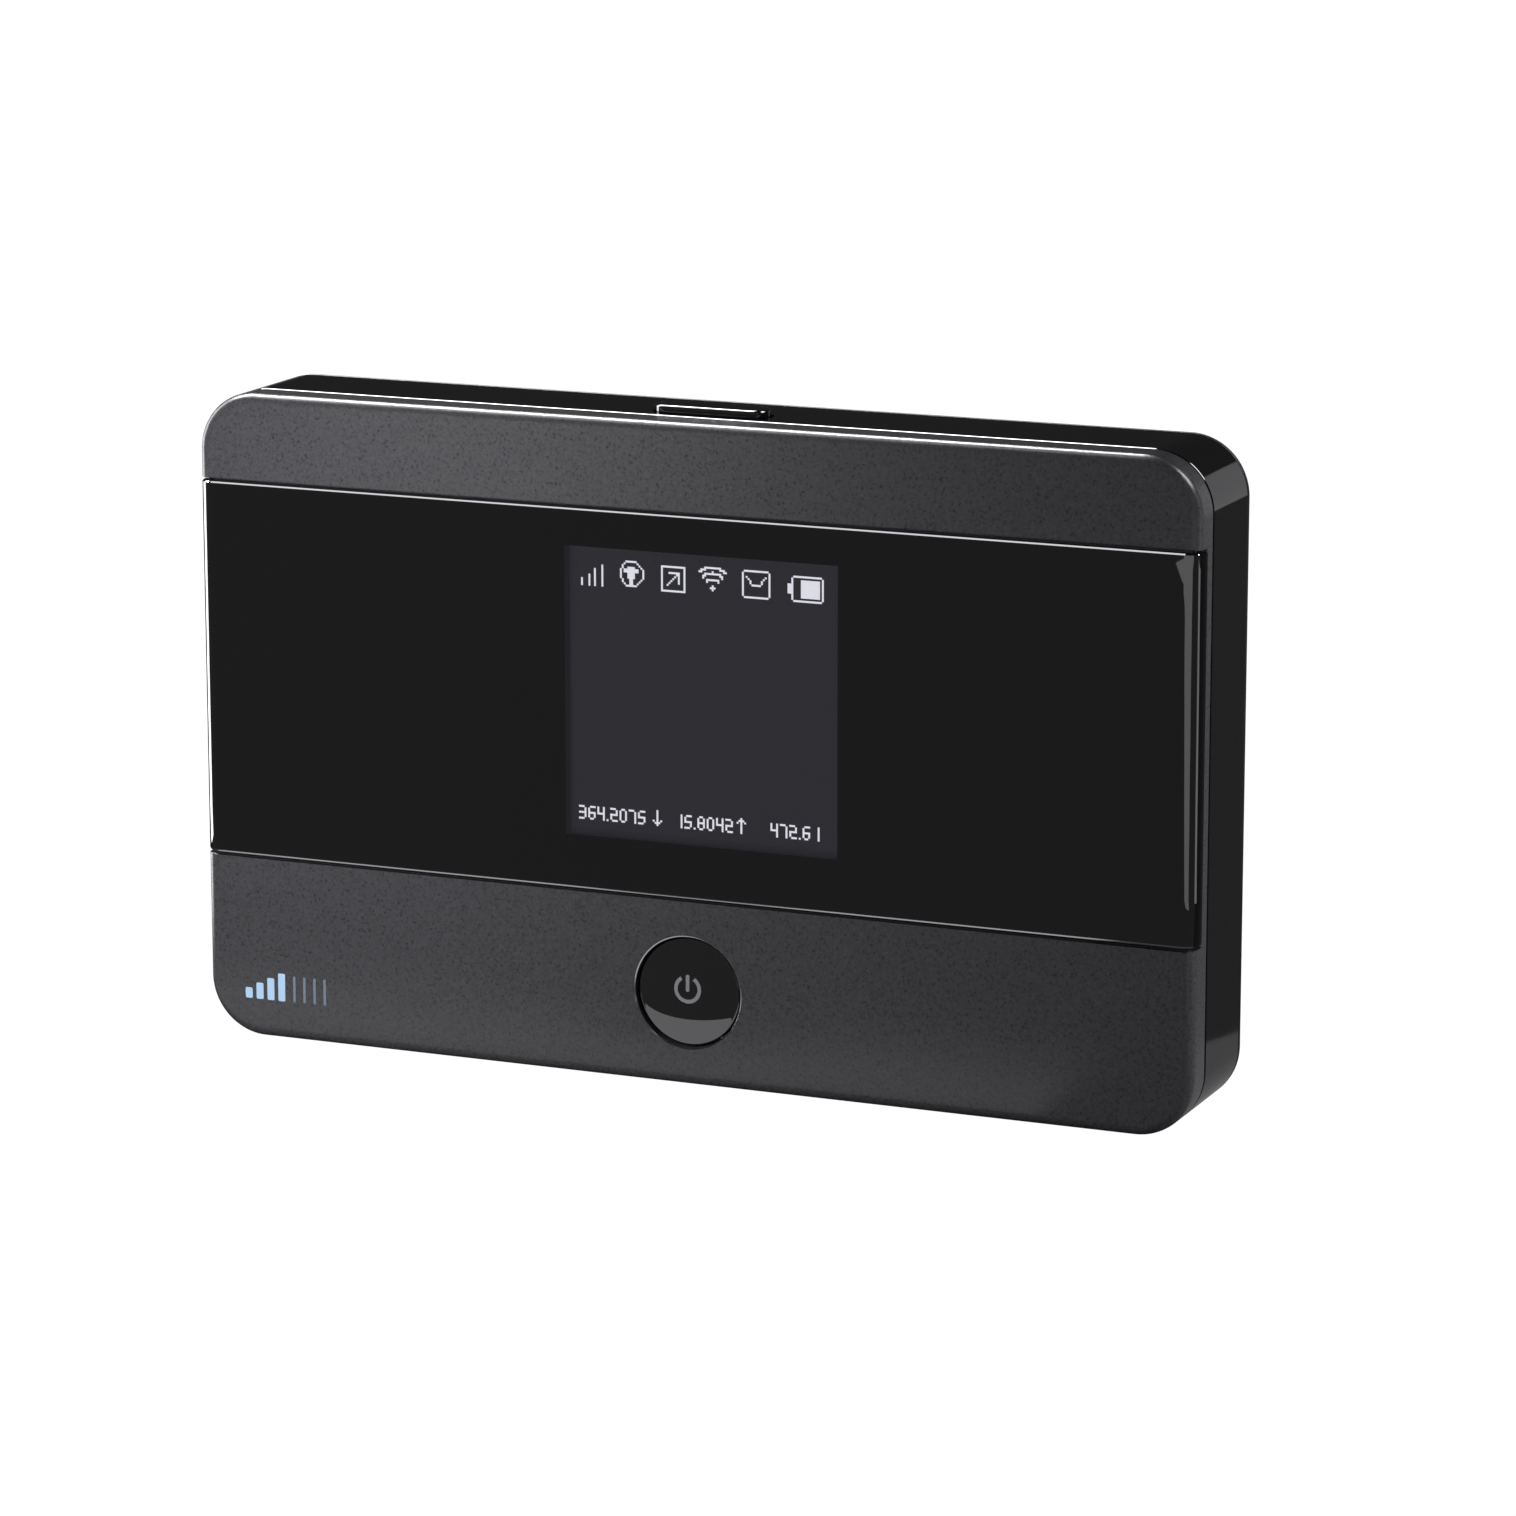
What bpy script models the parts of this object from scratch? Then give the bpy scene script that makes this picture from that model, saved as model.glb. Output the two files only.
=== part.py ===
"""Mobile hotspot: a pocket wireless router with a small display.

The body stands on its long lower edge. X is the width, Y the depth and Z the height; the
front faces -Y. The origin is below the middle of the body, on the surface it stands on.
From front to back it has a wrapped lens panel, a front shell, a display, a circuit board,
a side band around a chassis with a battery bay and a card bay, and a clip-on rear cover.
"""

from math import cos, pi, radians, sin

import bmesh
import bpy

MM = 0.001

# ---------------------------------------------------------------- driving dimensions
BODY_WIDTH = 106.1 * MM
BODY_HEIGHT = 66.4 * MM
BODY_DEPTH = 15.4 * MM          # face of the front shell to the back of the cover
CORNER_RADIUS = 6.0 * MM

GAP = 0.3 * MM                  # clearance between neighbouring pieces
KEY_GAP = 0.3 * MM              # clearance around the keys
BATTERY_CLEARANCE = 0.4 * MM    # around the battery in its bay

# Front shell and lens panel
SHELL_DEPTH = 3.6 * MM          # face to the seam with the side band
SHELL_WALL = 1.3 * MM
SHELL_FRONT_WALL = 1.4 * MM
SHELL_EDGE_RADIUS = 1.0 * MM
SHELL_RIB = 1.2 * MM            # between the lens recess and the cored fields
PANEL_PROUD = 0.2 * MM          # lens panel ahead of the shell's face
PANEL_SIDE_PROUD = 0.15 * MM    # and beyond its sides
PANEL_THICKNESS = 1.0 * MM
PANEL_RETURN_WALL = 0.9 * MM
PANEL_RETURN = 1.9 * MM         # how far the panel wraps back over the sides
PANEL_EDGE_RADIUS = 1.6 * MM
PANEL_END_BEVEL = 0.15 * MM      # along its upper and lower edges
PANEL_BOTTOM = 19.15 * MM
PANEL_TOP_MARGIN = 9.1 * MM
MASK_THICKNESS = 0.2 * MM
TRAY_THICKNESS = 1.0 * MM       # shell wall under the lens panel

# Display
WINDOW_WIDTH = 28.7 * MM
WINDOW_CENTRE_X = 1.75 * MM
WINDOW_MARGIN_BELOW = 5.2 * MM  # panel's lower edge to the window
WINDOW_MARGIN_ABOVE = 3.85 * MM
GLASS_BORDER = 1.5 * MM         # display glass beyond the window
GLASS_LEDGE = 2.0 * MM          # extra glass at the bottom, for the driver
GLASS_THICKNESS = 1.0 * MM
BACKLIGHT_RIM = 0.8 * MM        # backlight frame beyond the glass
BACKLIGHT_THICKNESS = 1.2 * MM
BACKLIGHT_RECESS = 0.5 * MM
RIBBON_WIDTH = 9.0 * MM
RIBBON_THICKNESS = 0.15 * MM
RIBBON_SOCKET = (12.0 * MM, 0.7 * MM, 1.6 * MM)   # along X, Y and Z
RIBBON_DROP = 1.2 * MM          # ribbon's top to its socket
RIBBON_SOCKET_BEVEL = 0.1 * MM

# Power key, in the front face
POWER_X = 0.4 * MM
POWER_Z = 9.5 * MM
POWER_HOLE_RADIUS = 5.75 * MM
POWER_HOLE_CHAMFER = 0.25 * MM
POWER_DOME = 0.4 * MM           # crown above the cap's rim
POWER_FLANGE = 0.9 * MM         # flange beyond the cap
POWER_FLANGE_THICKNESS = 0.5 * MM
POWER_EDGE_RADIUS = 0.3 * MM
PIP_RADIUS = 1.2 * MM

# Menu key, raised from the top of the side band
MENU_X = 0.3 * MM
MENU_Y = -0.7 * MM
MENU_LENGTH = 12.0 * MM
MENU_DEPTH = 3.2 * MM
MENU_HEIGHT = 0.75 * MM         # above the band
MENU_EDGE_RADIUS = 0.4 * MM
MENU_END_ROUND = 0.98           # end radius as a share of half the depth
MENU_FLANGE = 0.8 * MM
MENU_FLANGE_THICKNESS = 0.8 * MM

# Tactile switches
SWITCH_SIZE = 4.6 * MM
SWITCH_HEIGHT = 1.15 * MM
SWITCH_FLOOR = 0.2 * MM
SWITCH_CORNER_RADIUS = 0.3 * MM
MENU_SWITCH_BEVEL = 0.15 * MM
PLUNGER_RADIUS = 1.0 * MM
PLUNGER_PROUD = 0.3 * MM        # plunger above its switch
KEY_TRAVEL = 0.25 * MM
RESET_SIZE = 3.2 * MM
RESET_HEIGHT = 1.2 * MM
RESET_PLUNGER_RADIUS = 0.6 * MM
RESET_PINHOLE_RADIUS = 0.9 * MM

# Circuit board and what it carries
BOARD_THICKNESS = 1.0 * MM
REAR_COMPONENT_ROOM = 2.2 * MM  # board to the floor of the bays
SHIELD_HEIGHT = 1.2 * MM
SHIELD_WALL = 0.25 * MM
SHIELD_CORNER_RADIUS = 0.8 * MM
SHIELD_MARGIN = 2.4 * MM        # shields to the display and the board's edge
SHIELD_LOWER_BOTTOM = 10.5 * MM
SHIELD_LOWER_HEIGHT = 16.5 * MM
SHIELD_ROW_GAP = 3.0 * MM
SHIELD_TOP_MARGIN = 7.2 * MM
CHIP_HEIGHT = 0.65 * MM
CHIP_BEVEL = 0.1 * MM
CHIP_LARGE = 10.0 * MM
CHIP_MEDIUM = 7.0 * MM
CHIP_SMALL = 5.0 * MM

# Side band, chassis and rear cover
BAND_WALL = 1.2 * MM
CHASSIS_INSET = 1.6 * MM        # chassis inside the body's outline
CHASSIS_WALL = 1.0 * MM
CHASSIS_TONGUE = 0.6 * MM       # chassis rim that enters the front shell
BAY_FLOOR = 0.8 * MM
BAY_LAND = 4.2 * MM             # solid rim beside the bays
BAY_CHANNEL = 8.2 * MM          # chassis edge to the bays, above and below them
BAY_RIB = 1.4 * MM              # between the card bay and the battery bay
BAY_RADIUS = 1.2 * MM
CARD_BAY_WIDTH = 30.4 * MM
FINGER_RADIUS = 4.0 * MM        # scallop that lets a finger lift the battery
COVER_RIM = 1.3 * MM
COVER_WALL = 1.0 * MM
COVER_EDGE_RADIUS = 1.2 * MM
HOOK_WIDTH = 6.0 * MM
HOOK_THICKNESS = 0.8 * MM
HOOK_REACH = 3.1 * MM           # below the cover's rim
HOOK_BARB = 0.15 * MM           # barb beyond the hook's outer face
HOOK_BARB_HEIGHT = 0.65 * MM
HOOK_BARB_INSET = 0.8 * MM      # barb shorter than the hook at each end
HOOK_WALL = 0.9 * MM            # chassis wall outside the hooks
HOOK_ALONG_TOP = 30.0 * MM      # from the middle
HOOK_ALONG_SIDE = 13.0 * MM
NAIL_NOTCH_WIDTH = 9.0 * MM
NAIL_NOTCH_DEPTH = 0.6 * MM
NAIL_NOTCH_FROM_BOTTOM = 17.0 * MM

# Antennas
ANTENNA_CHANNEL_BOTTOM = 3.3 * MM   # from the chassis edge
ANTENNA_CHANNEL_HEIGHT = 3.7 * MM
ANTENNA_CHANNEL_START = 2.0 * MM    # from the middle of the body
ANTENNA_THICKNESS = 0.2 * MM
ANTENNA_SHELF = 1.0 * MM
ANTENNA_SHELF_DROP = 1.0 * MM       # shelf below the back of the chassis
ANTENNA_SHELF_START = 17.5 * MM
ANTENNA_SLOT = 0.6 * MM
LOWER_ANTENNA_SLOTS = 7
UPPER_ANTENNA_SLOTS = 4
CARRIER_WALL = 0.8 * MM

# Screws
SCREW_EDGE_X = 7.05 * MM        # from the body's sides
SCREW_EDGE_Z = 6.3 * MM         # from its top and bottom
SCREW_MIDDLE_X = 14.0 * MM
SCREW_HEAD_RADIUS = 1.6 * MM
SCREW_HEAD_HEIGHT = 0.9 * MM
SCREW_HEAD_FLAT = 0.7           # flat top as a share of the head's radius
SCREW_SHANK_RADIUS = 0.8 * MM
SCREW_LENGTH = 5.4 * MM
SCREW_WELL_RADIUS = 2.1 * MM
BOSS_RADIUS = 2.2 * MM
BOSS_FOOT = 0.6 * MM            # solid foot below the bore

# USB receptacle, in the left side
USB_WIDTH = 7.5 * MM
USB_HEIGHT = 2.8 * MM
USB_DEPTH = 5.4 * MM
USB_WALL = 0.3 * MM
USB_RECESS = 0.35 * MM          # mouth inside the band's face
USB_CHAMFER = 0.98 * MM         # narrows the mouth towards the front
USB_TONGUE = (3.7 * MM, 0.6 * MM)
USB_TONGUE_LENGTH = 3.6 * MM

# Card sockets and reset switch, in the card bay
SIM_SIZE = (16.4 * MM, 15.0 * MM)
CARD_SIZE = (13.4 * MM, 14.0 * MM)
SOCKET_X = 10.0 * MM            # from the card bay's left edge
SOCKET_MARGIN = 0.28            # above and below the pair, as a share of the free height
SOCKET_HEIGHT = 2.2 * MM
SOCKET_WALL = 0.25 * MM
SOCKET_BASE = 0.6 * MM
SOCKET_CORNER_RADIUS = 0.5 * MM
SOCKET_INNER_RADIUS = 0.1 * MM
SOCKET_BASE_RADIUS = 0.3 * MM
RESET_X = 24.0 * MM             # from the card bay's left edge

# Battery and its contacts
BATTERY_EDGE_RADIUS = 0.7 * MM
BATTERY_CAP_WIDTH = 3.0 * MM
BATTERY_CAP_BEVEL = 0.3 * MM
BATTERY_CELL_GAP = 0.3 * MM
TERMINAL_SIZE = (1.6 * MM, 3.0 * MM)    # along Z and Y
TERMINAL_THICKNESS = 0.2 * MM
CONTACT_PITCH = 2.8 * MM
CONTACT_COUNT = 3
CONTACT_PLACE = 10.2 * MM       # bay's lower edge to the middle contact
CONNECTOR_WIDTH = 3.0 * MM
CONNECTOR_MARGIN = 1.0 * MM     # block beyond the outer contacts
CONNECTOR_TOP_GAP = 1.6 * MM    # block below the back of the chassis
CONTACT_WIRE = 0.3 * MM
CONTACT_WIDTH = 0.9 * MM
CONTACT_SLOT_DEPTH = 1.5 * MM    # slots in the block, from the battery's side
CONNECTOR_BEVEL = 0.15 * MM

# Facets
CORNER_STEPS = 10
SMALL_CORNER_STEPS = 3
EDGE_SEGMENTS = 3
ROUND_SEGMENTS = 32
SMALL_ROUND_SEGMENTS = 20
MENU_END_STEPS = 8

# Tolerances of the modelling steps
MERGE_DISTANCE = 1e-7
LEVEL_TOLERANCE = 1e-6
FLAT_ANGLE = radians(0.05)

# ---------------------------------------------------------------- derived levels along Y
BACK = (BODY_DEPTH + PANEL_PROUD) / 2
SHELL_FRONT = BACK - BODY_DEPTH
SHELL_BACK = SHELL_FRONT + SHELL_DEPTH
PANEL_FRONT = SHELL_FRONT - PANEL_PROUD
PANEL_BACK = PANEL_FRONT + PANEL_THICKNESS
MASK_FRONT = PANEL_BACK + GAP
MASK_BACK = MASK_FRONT + MASK_THICKNESS
TRAY_FRONT = MASK_BACK + GAP
TRAY_BACK = TRAY_FRONT + TRAY_THICKNESS
SHELL_INNER = SHELL_FRONT + SHELL_FRONT_WALL
BACKLIGHT_FRONT = TRAY_BACK + GAP
BACKLIGHT_BACK = BACKLIGHT_FRONT + BACKLIGHT_THICKNESS
BOARD_FRONT = BACKLIGHT_BACK + GAP
BOARD_BACK = BOARD_FRONT + BOARD_THICKNESS
FLOOR_FRONT = BOARD_BACK + REAR_COMPONENT_ROOM
FLOOR_BACK = FLOOR_FRONT + BAY_FLOOR
BAND_FRONT = SHELL_BACK + GAP
COVER_FRONT = BACK - COVER_RIM
COVER_INNER = BACK - COVER_WALL
BAND_BACK = COVER_FRONT - GAP
CHASSIS_FRONT = SHELL_BACK - CHASSIS_TONGUE
SHELF_BACK = BAND_BACK - ANTENNA_SHELF_DROP
BATTERY_FRONT = FLOOR_BACK + GAP
BATTERY_BACK = COVER_INNER - 2 * GAP

# ---------------------------------------------------------------- derived places in XZ
MIDDLE_Z = BODY_HEIGHT / 2
PANEL_TOP = BODY_HEIGHT - PANEL_TOP_MARGIN
PANEL_WIDTH = BODY_WIDTH + 2 * PANEL_SIDE_PROUD
WINDOW_BOTTOM = PANEL_BOTTOM + WINDOW_MARGIN_BELOW
WINDOW_TOP = PANEL_TOP - WINDOW_MARGIN_ABOVE
GLASS_LEFT = WINDOW_CENTRE_X - WINDOW_WIDTH / 2 - GLASS_BORDER
GLASS_RIGHT = WINDOW_CENTRE_X + WINDOW_WIDTH / 2 + GLASS_BORDER
GLASS_BOTTOM = WINDOW_BOTTOM - GLASS_BORDER - GLASS_LEDGE
GLASS_TOP = WINDOW_TOP + GLASS_BORDER
CHASSIS_RIGHT = BODY_WIDTH / 2 - CHASSIS_INSET
CHASSIS_TOP = BODY_HEIGHT - CHASSIS_INSET
BOARD_INSET = CHASSIS_INSET + CHASSIS_WALL + GAP
BOARD_RIGHT = BODY_WIDTH / 2 - BOARD_INSET
BOARD_TOP = BODY_HEIGHT - BOARD_INSET
BAY_RIGHT = CHASSIS_RIGHT - BAY_LAND
CARD_BAY_LEFT = -BAY_RIGHT
CARD_BAY_RIGHT = CARD_BAY_LEFT + CARD_BAY_WIDTH
BATTERY_BAY_LEFT = CARD_BAY_RIGHT + BAY_RIB
BAY_BOTTOM = CHASSIS_INSET + BAY_CHANNEL
BAY_TOP = CHASSIS_TOP - BAY_CHANNEL
BATTERY_LEFT = BATTERY_BAY_LEFT + BATTERY_CLEARANCE
BATTERY_RIGHT = BAY_RIGHT - BATTERY_CLEARANCE
BATTERY_BOTTOM = BAY_BOTTOM + BATTERY_CLEARANCE
BATTERY_TOP = BAY_TOP - BATTERY_CLEARANCE
BATTERY_MIDDLE_Y = (BATTERY_FRONT + BATTERY_BACK) / 2
CONTACT_Z = BAY_BOTTOM + CONTACT_PLACE
CHANNEL_END = BODY_WIDTH / 2 - SCREW_EDGE_X - SCREW_WELL_RADIUS - CHASSIS_WALL
HOOK_INSET = CHASSIS_INSET + HOOK_WALL + GAP     # outer face of a hook in the outline
USB_Y = BOARD_BACK + GAP + USB_HEIGHT / 2
SCREW_PLACES = [(side * (BODY_WIDTH / 2 - SCREW_EDGE_X), z)
                for z in (SCREW_EDGE_Z, BODY_HEIGHT - SCREW_EDGE_Z) for side in (-1, 1)]
SCREW_PLACES += [(side * SCREW_MIDDLE_X, BODY_HEIGHT - SCREW_EDGE_Z) for side in (-1, 1)]

TURN = {"X": (pi / 2, 0, pi / 2), "Y": (pi / 2, 0, 0), "Z": (0, 0, 0)}


# ---------------------------------------------------------------- modelling helpers
def clear_scene():
    for obj in list(bpy.data.objects):
        bpy.data.objects.remove(obj, do_unlink=True)


def new_collection(name):
    collection = bpy.data.collections.new(name)
    bpy.context.scene.collection.children.link(collection)
    return collection


def add_object(name, data, location=(0, 0, 0), rotation=(0, 0, 0)):
    obj = bpy.data.objects.new(name, data)
    obj.location = location
    obj.rotation_euler = rotation
    PARTS.objects.link(obj)
    return obj


def mesh_object(name, bm, location=(0, 0, 0), rotation=(0, 0, 0)):
    mesh = bpy.data.meshes.new(name)
    bm.to_mesh(mesh)
    bm.free()
    return add_object(name, mesh, location, rotation)


def rounded_rectangle(width, height, radius, steps=CORNER_STEPS):
    """Outline of a rectangle with arc corners, centred on zero."""
    points = []
    for quarter, (side_x, side_y) in enumerate(((1, 1), (-1, 1), (-1, -1), (1, -1))):
        for step in range(steps + 1):
            angle = (quarter + step / steps) * pi / 2
            point = (side_x * (width / 2 - radius) + radius * cos(angle),
                     side_y * (height / 2 - radius) + radius * sin(angle))
            if not points or max(abs(a - b) for a, b in zip(point, points[-1])) > MERGE_DISTANCE:
                points.append(point)
    if max(abs(a - b) for a, b in zip(points[0], points[-1])) < MERGE_DISTANCE:
        points.pop()
    return points


def body_outline(inset):
    """The body's outline in XZ, moved inwards, centred on zero."""
    return rounded_rectangle(BODY_WIDTH - 2 * inset, BODY_HEIGHT - 2 * inset, CORNER_RADIUS - inset)


def place(axis, at, level):
    """World position from a place in the outline's plane and a level along the axis."""
    if axis == "X":
        return (level, at[0], at[1])
    if axis == "Y":
        return (at[0], level, at[1])
    return (at[0], at[1], level)


def slab(name, outlines, start, end, axis="Y", at=(0, 0)):
    """Solid of a flat outline, with any holes, drawn from start to end along an axis."""
    curve = bpy.data.curves.new(name, "CURVE")
    curve.dimensions = "2D"
    curve.fill_mode = "BOTH"
    curve.extrude = abs(end - start) / 2
    for points in outlines:
        spline = curve.splines.new("POLY")
        spline.points.add(len(points) - 1)
        for vertex, (across, up) in zip(spline.points, points):
            vertex.co = (across, up, 0, 1)
        spline.use_cyclic_u = True
    source = add_object(name, curve, place(axis, at, (start + end) / 2), TURN[axis])
    bpy.context.view_layer.update()
    evaluated = source.evaluated_get(bpy.context.evaluated_depsgraph_get())
    mesh = bpy.data.meshes.new_from_object(evaluated)
    bm = bmesh.new()
    bm.from_mesh(mesh)
    bmesh.ops.remove_doubles(bm, verts=bm.verts, dist=MERGE_DISTANCE)
    bmesh.ops.dissolve_limit(bm, angle_limit=FLAT_ANGLE, verts=bm.verts, edges=bm.edges)
    bmesh.ops.recalc_face_normals(bm, faces=bm.faces)
    bm.to_mesh(mesh)
    bm.free()
    location = source.location.copy()
    bpy.data.objects.remove(source)
    return add_object(name, mesh, location, TURN[axis])


def block(name, x, y, z):
    """Box between two X, two Y and two Z values."""
    bm = bmesh.new()
    bmesh.ops.create_cube(bm, size=1)
    for vertex in bm.verts:
        vertex.co.x *= x[1] - x[0]
        vertex.co.y *= y[1] - y[0]
        vertex.co.z *= z[1] - z[0]
    return mesh_object(name, bm, [(low + high) / 2 for low, high in (x, y, z)])


def cylinder(name, radius, start, end, axis="Y", at=(0, 0), segments=ROUND_SEGMENTS,
             end_radius=None):
    """Round bar, or a cone, from start to end along an axis."""
    bm = bmesh.new()
    bottom, top = radius, radius if end_radius is None else end_radius
    if axis == "Y":
        bottom, top = top, bottom
    bmesh.ops.create_cone(bm, cap_ends=True, segments=segments, radius1=bottom, radius2=top,
                          depth=abs(end - start))
    return mesh_object(name, bm, place(axis, at, (start + end) / 2), TURN[axis])


def turned(name, profile, location, rotation, segments=ROUND_SEGMENTS):
    """Turned solid: the profile (radius, height) runs from the axis, down and back to it."""
    mesh = bpy.data.meshes.new(name)
    mesh.from_pydata([(radius, 0, height) for radius, height in profile],
                     [(i, i + 1) for i in range(len(profile) - 1)], [])
    obj = add_object(name, mesh, location, rotation)
    screw = obj.modifiers.new("Turn", "SCREW")
    screw.steps = screw.render_steps = segments
    screw.use_merge_vertices = True
    screw.merge_threshold = MERGE_DISTANCE
    return obj


def round_rim(obj, level, radius, segments=EDGE_SEGMENTS):
    """Round the edges of one flat end of a slab; the level is in the slab's own Z."""
    bm = bmesh.new()
    bm.from_mesh(obj.data)
    weight = bm.edges.layers.float.new("bevel_weight_edge")
    for edge in bm.edges:
        if all(abs(vertex.co.z - level) < LEVEL_TOLERANCE for vertex in edge.verts):
            edge[weight] = 1.0
    bm.to_mesh(obj.data)
    bm.free()
    bevel = obj.modifiers.new("Rim", "BEVEL")
    bevel.limit_method = "WEIGHT"
    bevel.width = radius
    bevel.segments = segments
    return obj


def round_edges(obj, radius, segments=2, angle=40):
    """Round every edge sharper than an angle."""
    bevel = obj.modifiers.new("Edges", "BEVEL")
    bevel.limit_method = "ANGLE"
    bevel.angle_limit = radians(angle)
    bevel.width = radius
    bevel.segments = segments
    return obj


def combine(obj, operation, others):
    """Boolean with helper solids, which leave the object's own collection."""
    for other in others:
        boolean = obj.modifiers.new(other.name, "BOOLEAN")
        boolean.operation = operation
        boolean.object = other
        PARTS.objects.unlink(other)
        CUTTERS.objects.link(other)
        other.hide_render = True
        other.display_type = "WIRE"
    return obj


def cut(obj, *others):
    return combine(obj, "DIFFERENCE", others)


def add(obj, *others):
    return combine(obj, "UNION", others)


def material(name, colour, roughness, metallic=0.0):
    made = bpy.data.materials.new(name)
    made.use_nodes = True
    shader = made.node_tree.nodes["Principled BSDF"]
    shader.inputs["Base Color"].default_value = (*colour, 1.0)
    shader.inputs["Roughness"].default_value = roughness
    shader.inputs["Metallic"].default_value = metallic
    made.diffuse_color = (*colour, 1.0)
    return made


def finish(obj, key):
    obj.data.materials.clear()
    obj.data.materials.append(MATERIALS[key])
    return obj


def make_materials():
    return {
        "shell": material("charcoal_plastic", (0.072, 0.072, 0.080), 0.55),
        "panel": material("lens_black", (0.011, 0.011, 0.011), 0.08),
        "mask": material("mask_print", (0.008, 0.008, 0.008), 0.5),
        "band": material("gloss_black", (0.012, 0.012, 0.013), 0.12),
        "chassis": material("chassis_black", (0.015, 0.015, 0.016), 0.5),
        "cover": material("cover_black", (0.014, 0.014, 0.015), 0.3),
        "key": material("key_black", (0.012, 0.012, 0.014), 0.2),
        "glass": material("display_glass", (0.036, 0.034, 0.041), 0.1),
        "frame": material("display_frame", (0.6, 0.6, 0.62), 0.4),
        "ribbon": material("ribbon_amber", (0.35, 0.13, 0.02), 0.4),
        "board": material("board_green", (0.01, 0.08, 0.04), 0.45),
        "shield": material("shield_tin", (0.62, 0.62, 0.60), 0.3, 1.0),
        "chip": material("chip_black", (0.02, 0.02, 0.022), 0.5),
        "steel": material("steel", (0.55, 0.55, 0.56), 0.3, 1.0),
        "gold": material("gold", (0.83, 0.55, 0.20), 0.3, 1.0),
        "insulator": material("insulator_black", (0.02, 0.02, 0.02), 0.5),
        "battery": material("battery_wrap", (0.12, 0.12, 0.13), 0.45),
        "battery_end": material("battery_end", (0.02, 0.02, 0.022), 0.5),
        "carrier": material("antenna_carrier", (0.7, 0.69, 0.65), 0.5),
        "copper": material("antenna_copper", (0.72, 0.40, 0.22), 0.35, 1.0),
    }


# ---------------------------------------------------------------- front shell and panel
def front_shell():
    """Moulded front: recess for the wrapped panel, display window, key hole and bosses."""
    at = (0, MIDDLE_Z)
    shell = slab("front_shell", [body_outline(0)], SHELL_FRONT, SHELL_BACK, at=at)
    round_rim(shell, SHELL_DEPTH / 2, SHELL_EDGE_RADIUS)
    cut(shell, slab("shell_cavity", [body_outline(SHELL_WALL)], TRAY_BACK, SHELL_BACK + GAP, at=at))
    for name, bottom, top in (
            ("shell_field_low", 0, PANEL_BOTTOM - GAP - SHELL_RIB),
            ("shell_field_high", PANEL_TOP + GAP + SHELL_RIB, BODY_HEIGHT)):
        field = slab(name, [body_outline(SHELL_FRONT_WALL)], SHELL_INNER, TRAY_BACK + GAP, at=at)
        combine(field, "INTERSECT", [block(f"{name}_range", (-BODY_WIDTH, BODY_WIDTH),
                                           (PANEL_FRONT, BACK), (bottom, top))])
        cut(shell, field)
    recess_z = (PANEL_BOTTOM - GAP, PANEL_TOP + GAP)
    cut(shell, block("panel_recess", (-BODY_WIDTH, BODY_WIDTH), (PANEL_FRONT - GAP, TRAY_FRONT),
                     recess_z))
    return_inner = PANEL_WIDTH / 2 - PANEL_RETURN_WALL - GAP
    for name, side in (("return_recess_left", -1), ("return_recess_right", 1)):
        x = sorted((side * return_inner, side * BODY_WIDTH))
        cut(shell, block(name, x, (PANEL_FRONT - GAP, PANEL_FRONT + PANEL_RETURN + GAP), recess_z))
    cut(shell, block("window_opening", (GLASS_LEFT - GAP, GLASS_RIGHT + GAP),
                     (PANEL_FRONT, TRAY_BACK + GAP), (GLASS_BOTTOM - GAP, GLASS_TOP + GAP)))
    power = (POWER_X, POWER_Z)
    cut(shell, cylinder("power_hole", POWER_HOLE_RADIUS, PANEL_FRONT, TRAY_BACK, at=power,
                        segments=2 * ROUND_SEGMENTS))
    cut(shell, cylinder("power_hole_chamfer", POWER_HOLE_RADIUS + 2 * POWER_HOLE_CHAMFER,
                        SHELL_FRONT - POWER_HOLE_CHAMFER, SHELL_FRONT + POWER_HOLE_CHAMFER,
                        at=power, segments=2 * ROUND_SEGMENTS, end_radius=POWER_HOLE_RADIUS))
    boss_end = FLOOR_FRONT - GAP
    for number, spot in enumerate(SCREW_PLACES, 1):
        add(shell, cylinder(f"boss_{number}", BOSS_RADIUS, SHELL_INNER - GAP, boss_end, at=spot,
                            segments=SMALL_ROUND_SEGMENTS))
        cut(shell, cylinder(f"boss_bore_{number}", SCREW_SHANK_RADIUS + GAP,
                            SHELL_INNER + BOSS_FOOT, boss_end + GAP, at=spot,
                            segments=SMALL_ROUND_SEGMENTS))
    return finish(shell, "shell")


def panel_profile():
    """Section of the lens panel in XY: a flat front that wraps back over both sides."""
    half = PANEL_WIDTH / 2
    back = PANEL_FRONT + PANEL_RETURN
    right = [(half, back)]
    for step in range(2 * EDGE_SEGMENTS + 1):
        angle = step / (2 * EDGE_SEGMENTS) * pi / 2
        right.append((half - PANEL_EDGE_RADIUS * (1 - cos(angle)),
                      PANEL_FRONT + PANEL_EDGE_RADIUS * (1 - sin(angle))))
    outer = right + [(-x, y) for x, y in reversed(right)]
    inner = half - PANEL_RETURN_WALL
    return outer + [(-inner, back), (-inner, PANEL_BACK), (inner, PANEL_BACK), (inner, back)]


def lens_panel():
    panel = slab("lens_panel", [panel_profile()], PANEL_BOTTOM, PANEL_TOP, axis="Z")
    for level in (-1, 1):
        round_rim(panel, level * (PANEL_TOP - PANEL_BOTTOM) / 2, PANEL_END_BEVEL, 1)
    return finish(panel, "panel")


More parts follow.
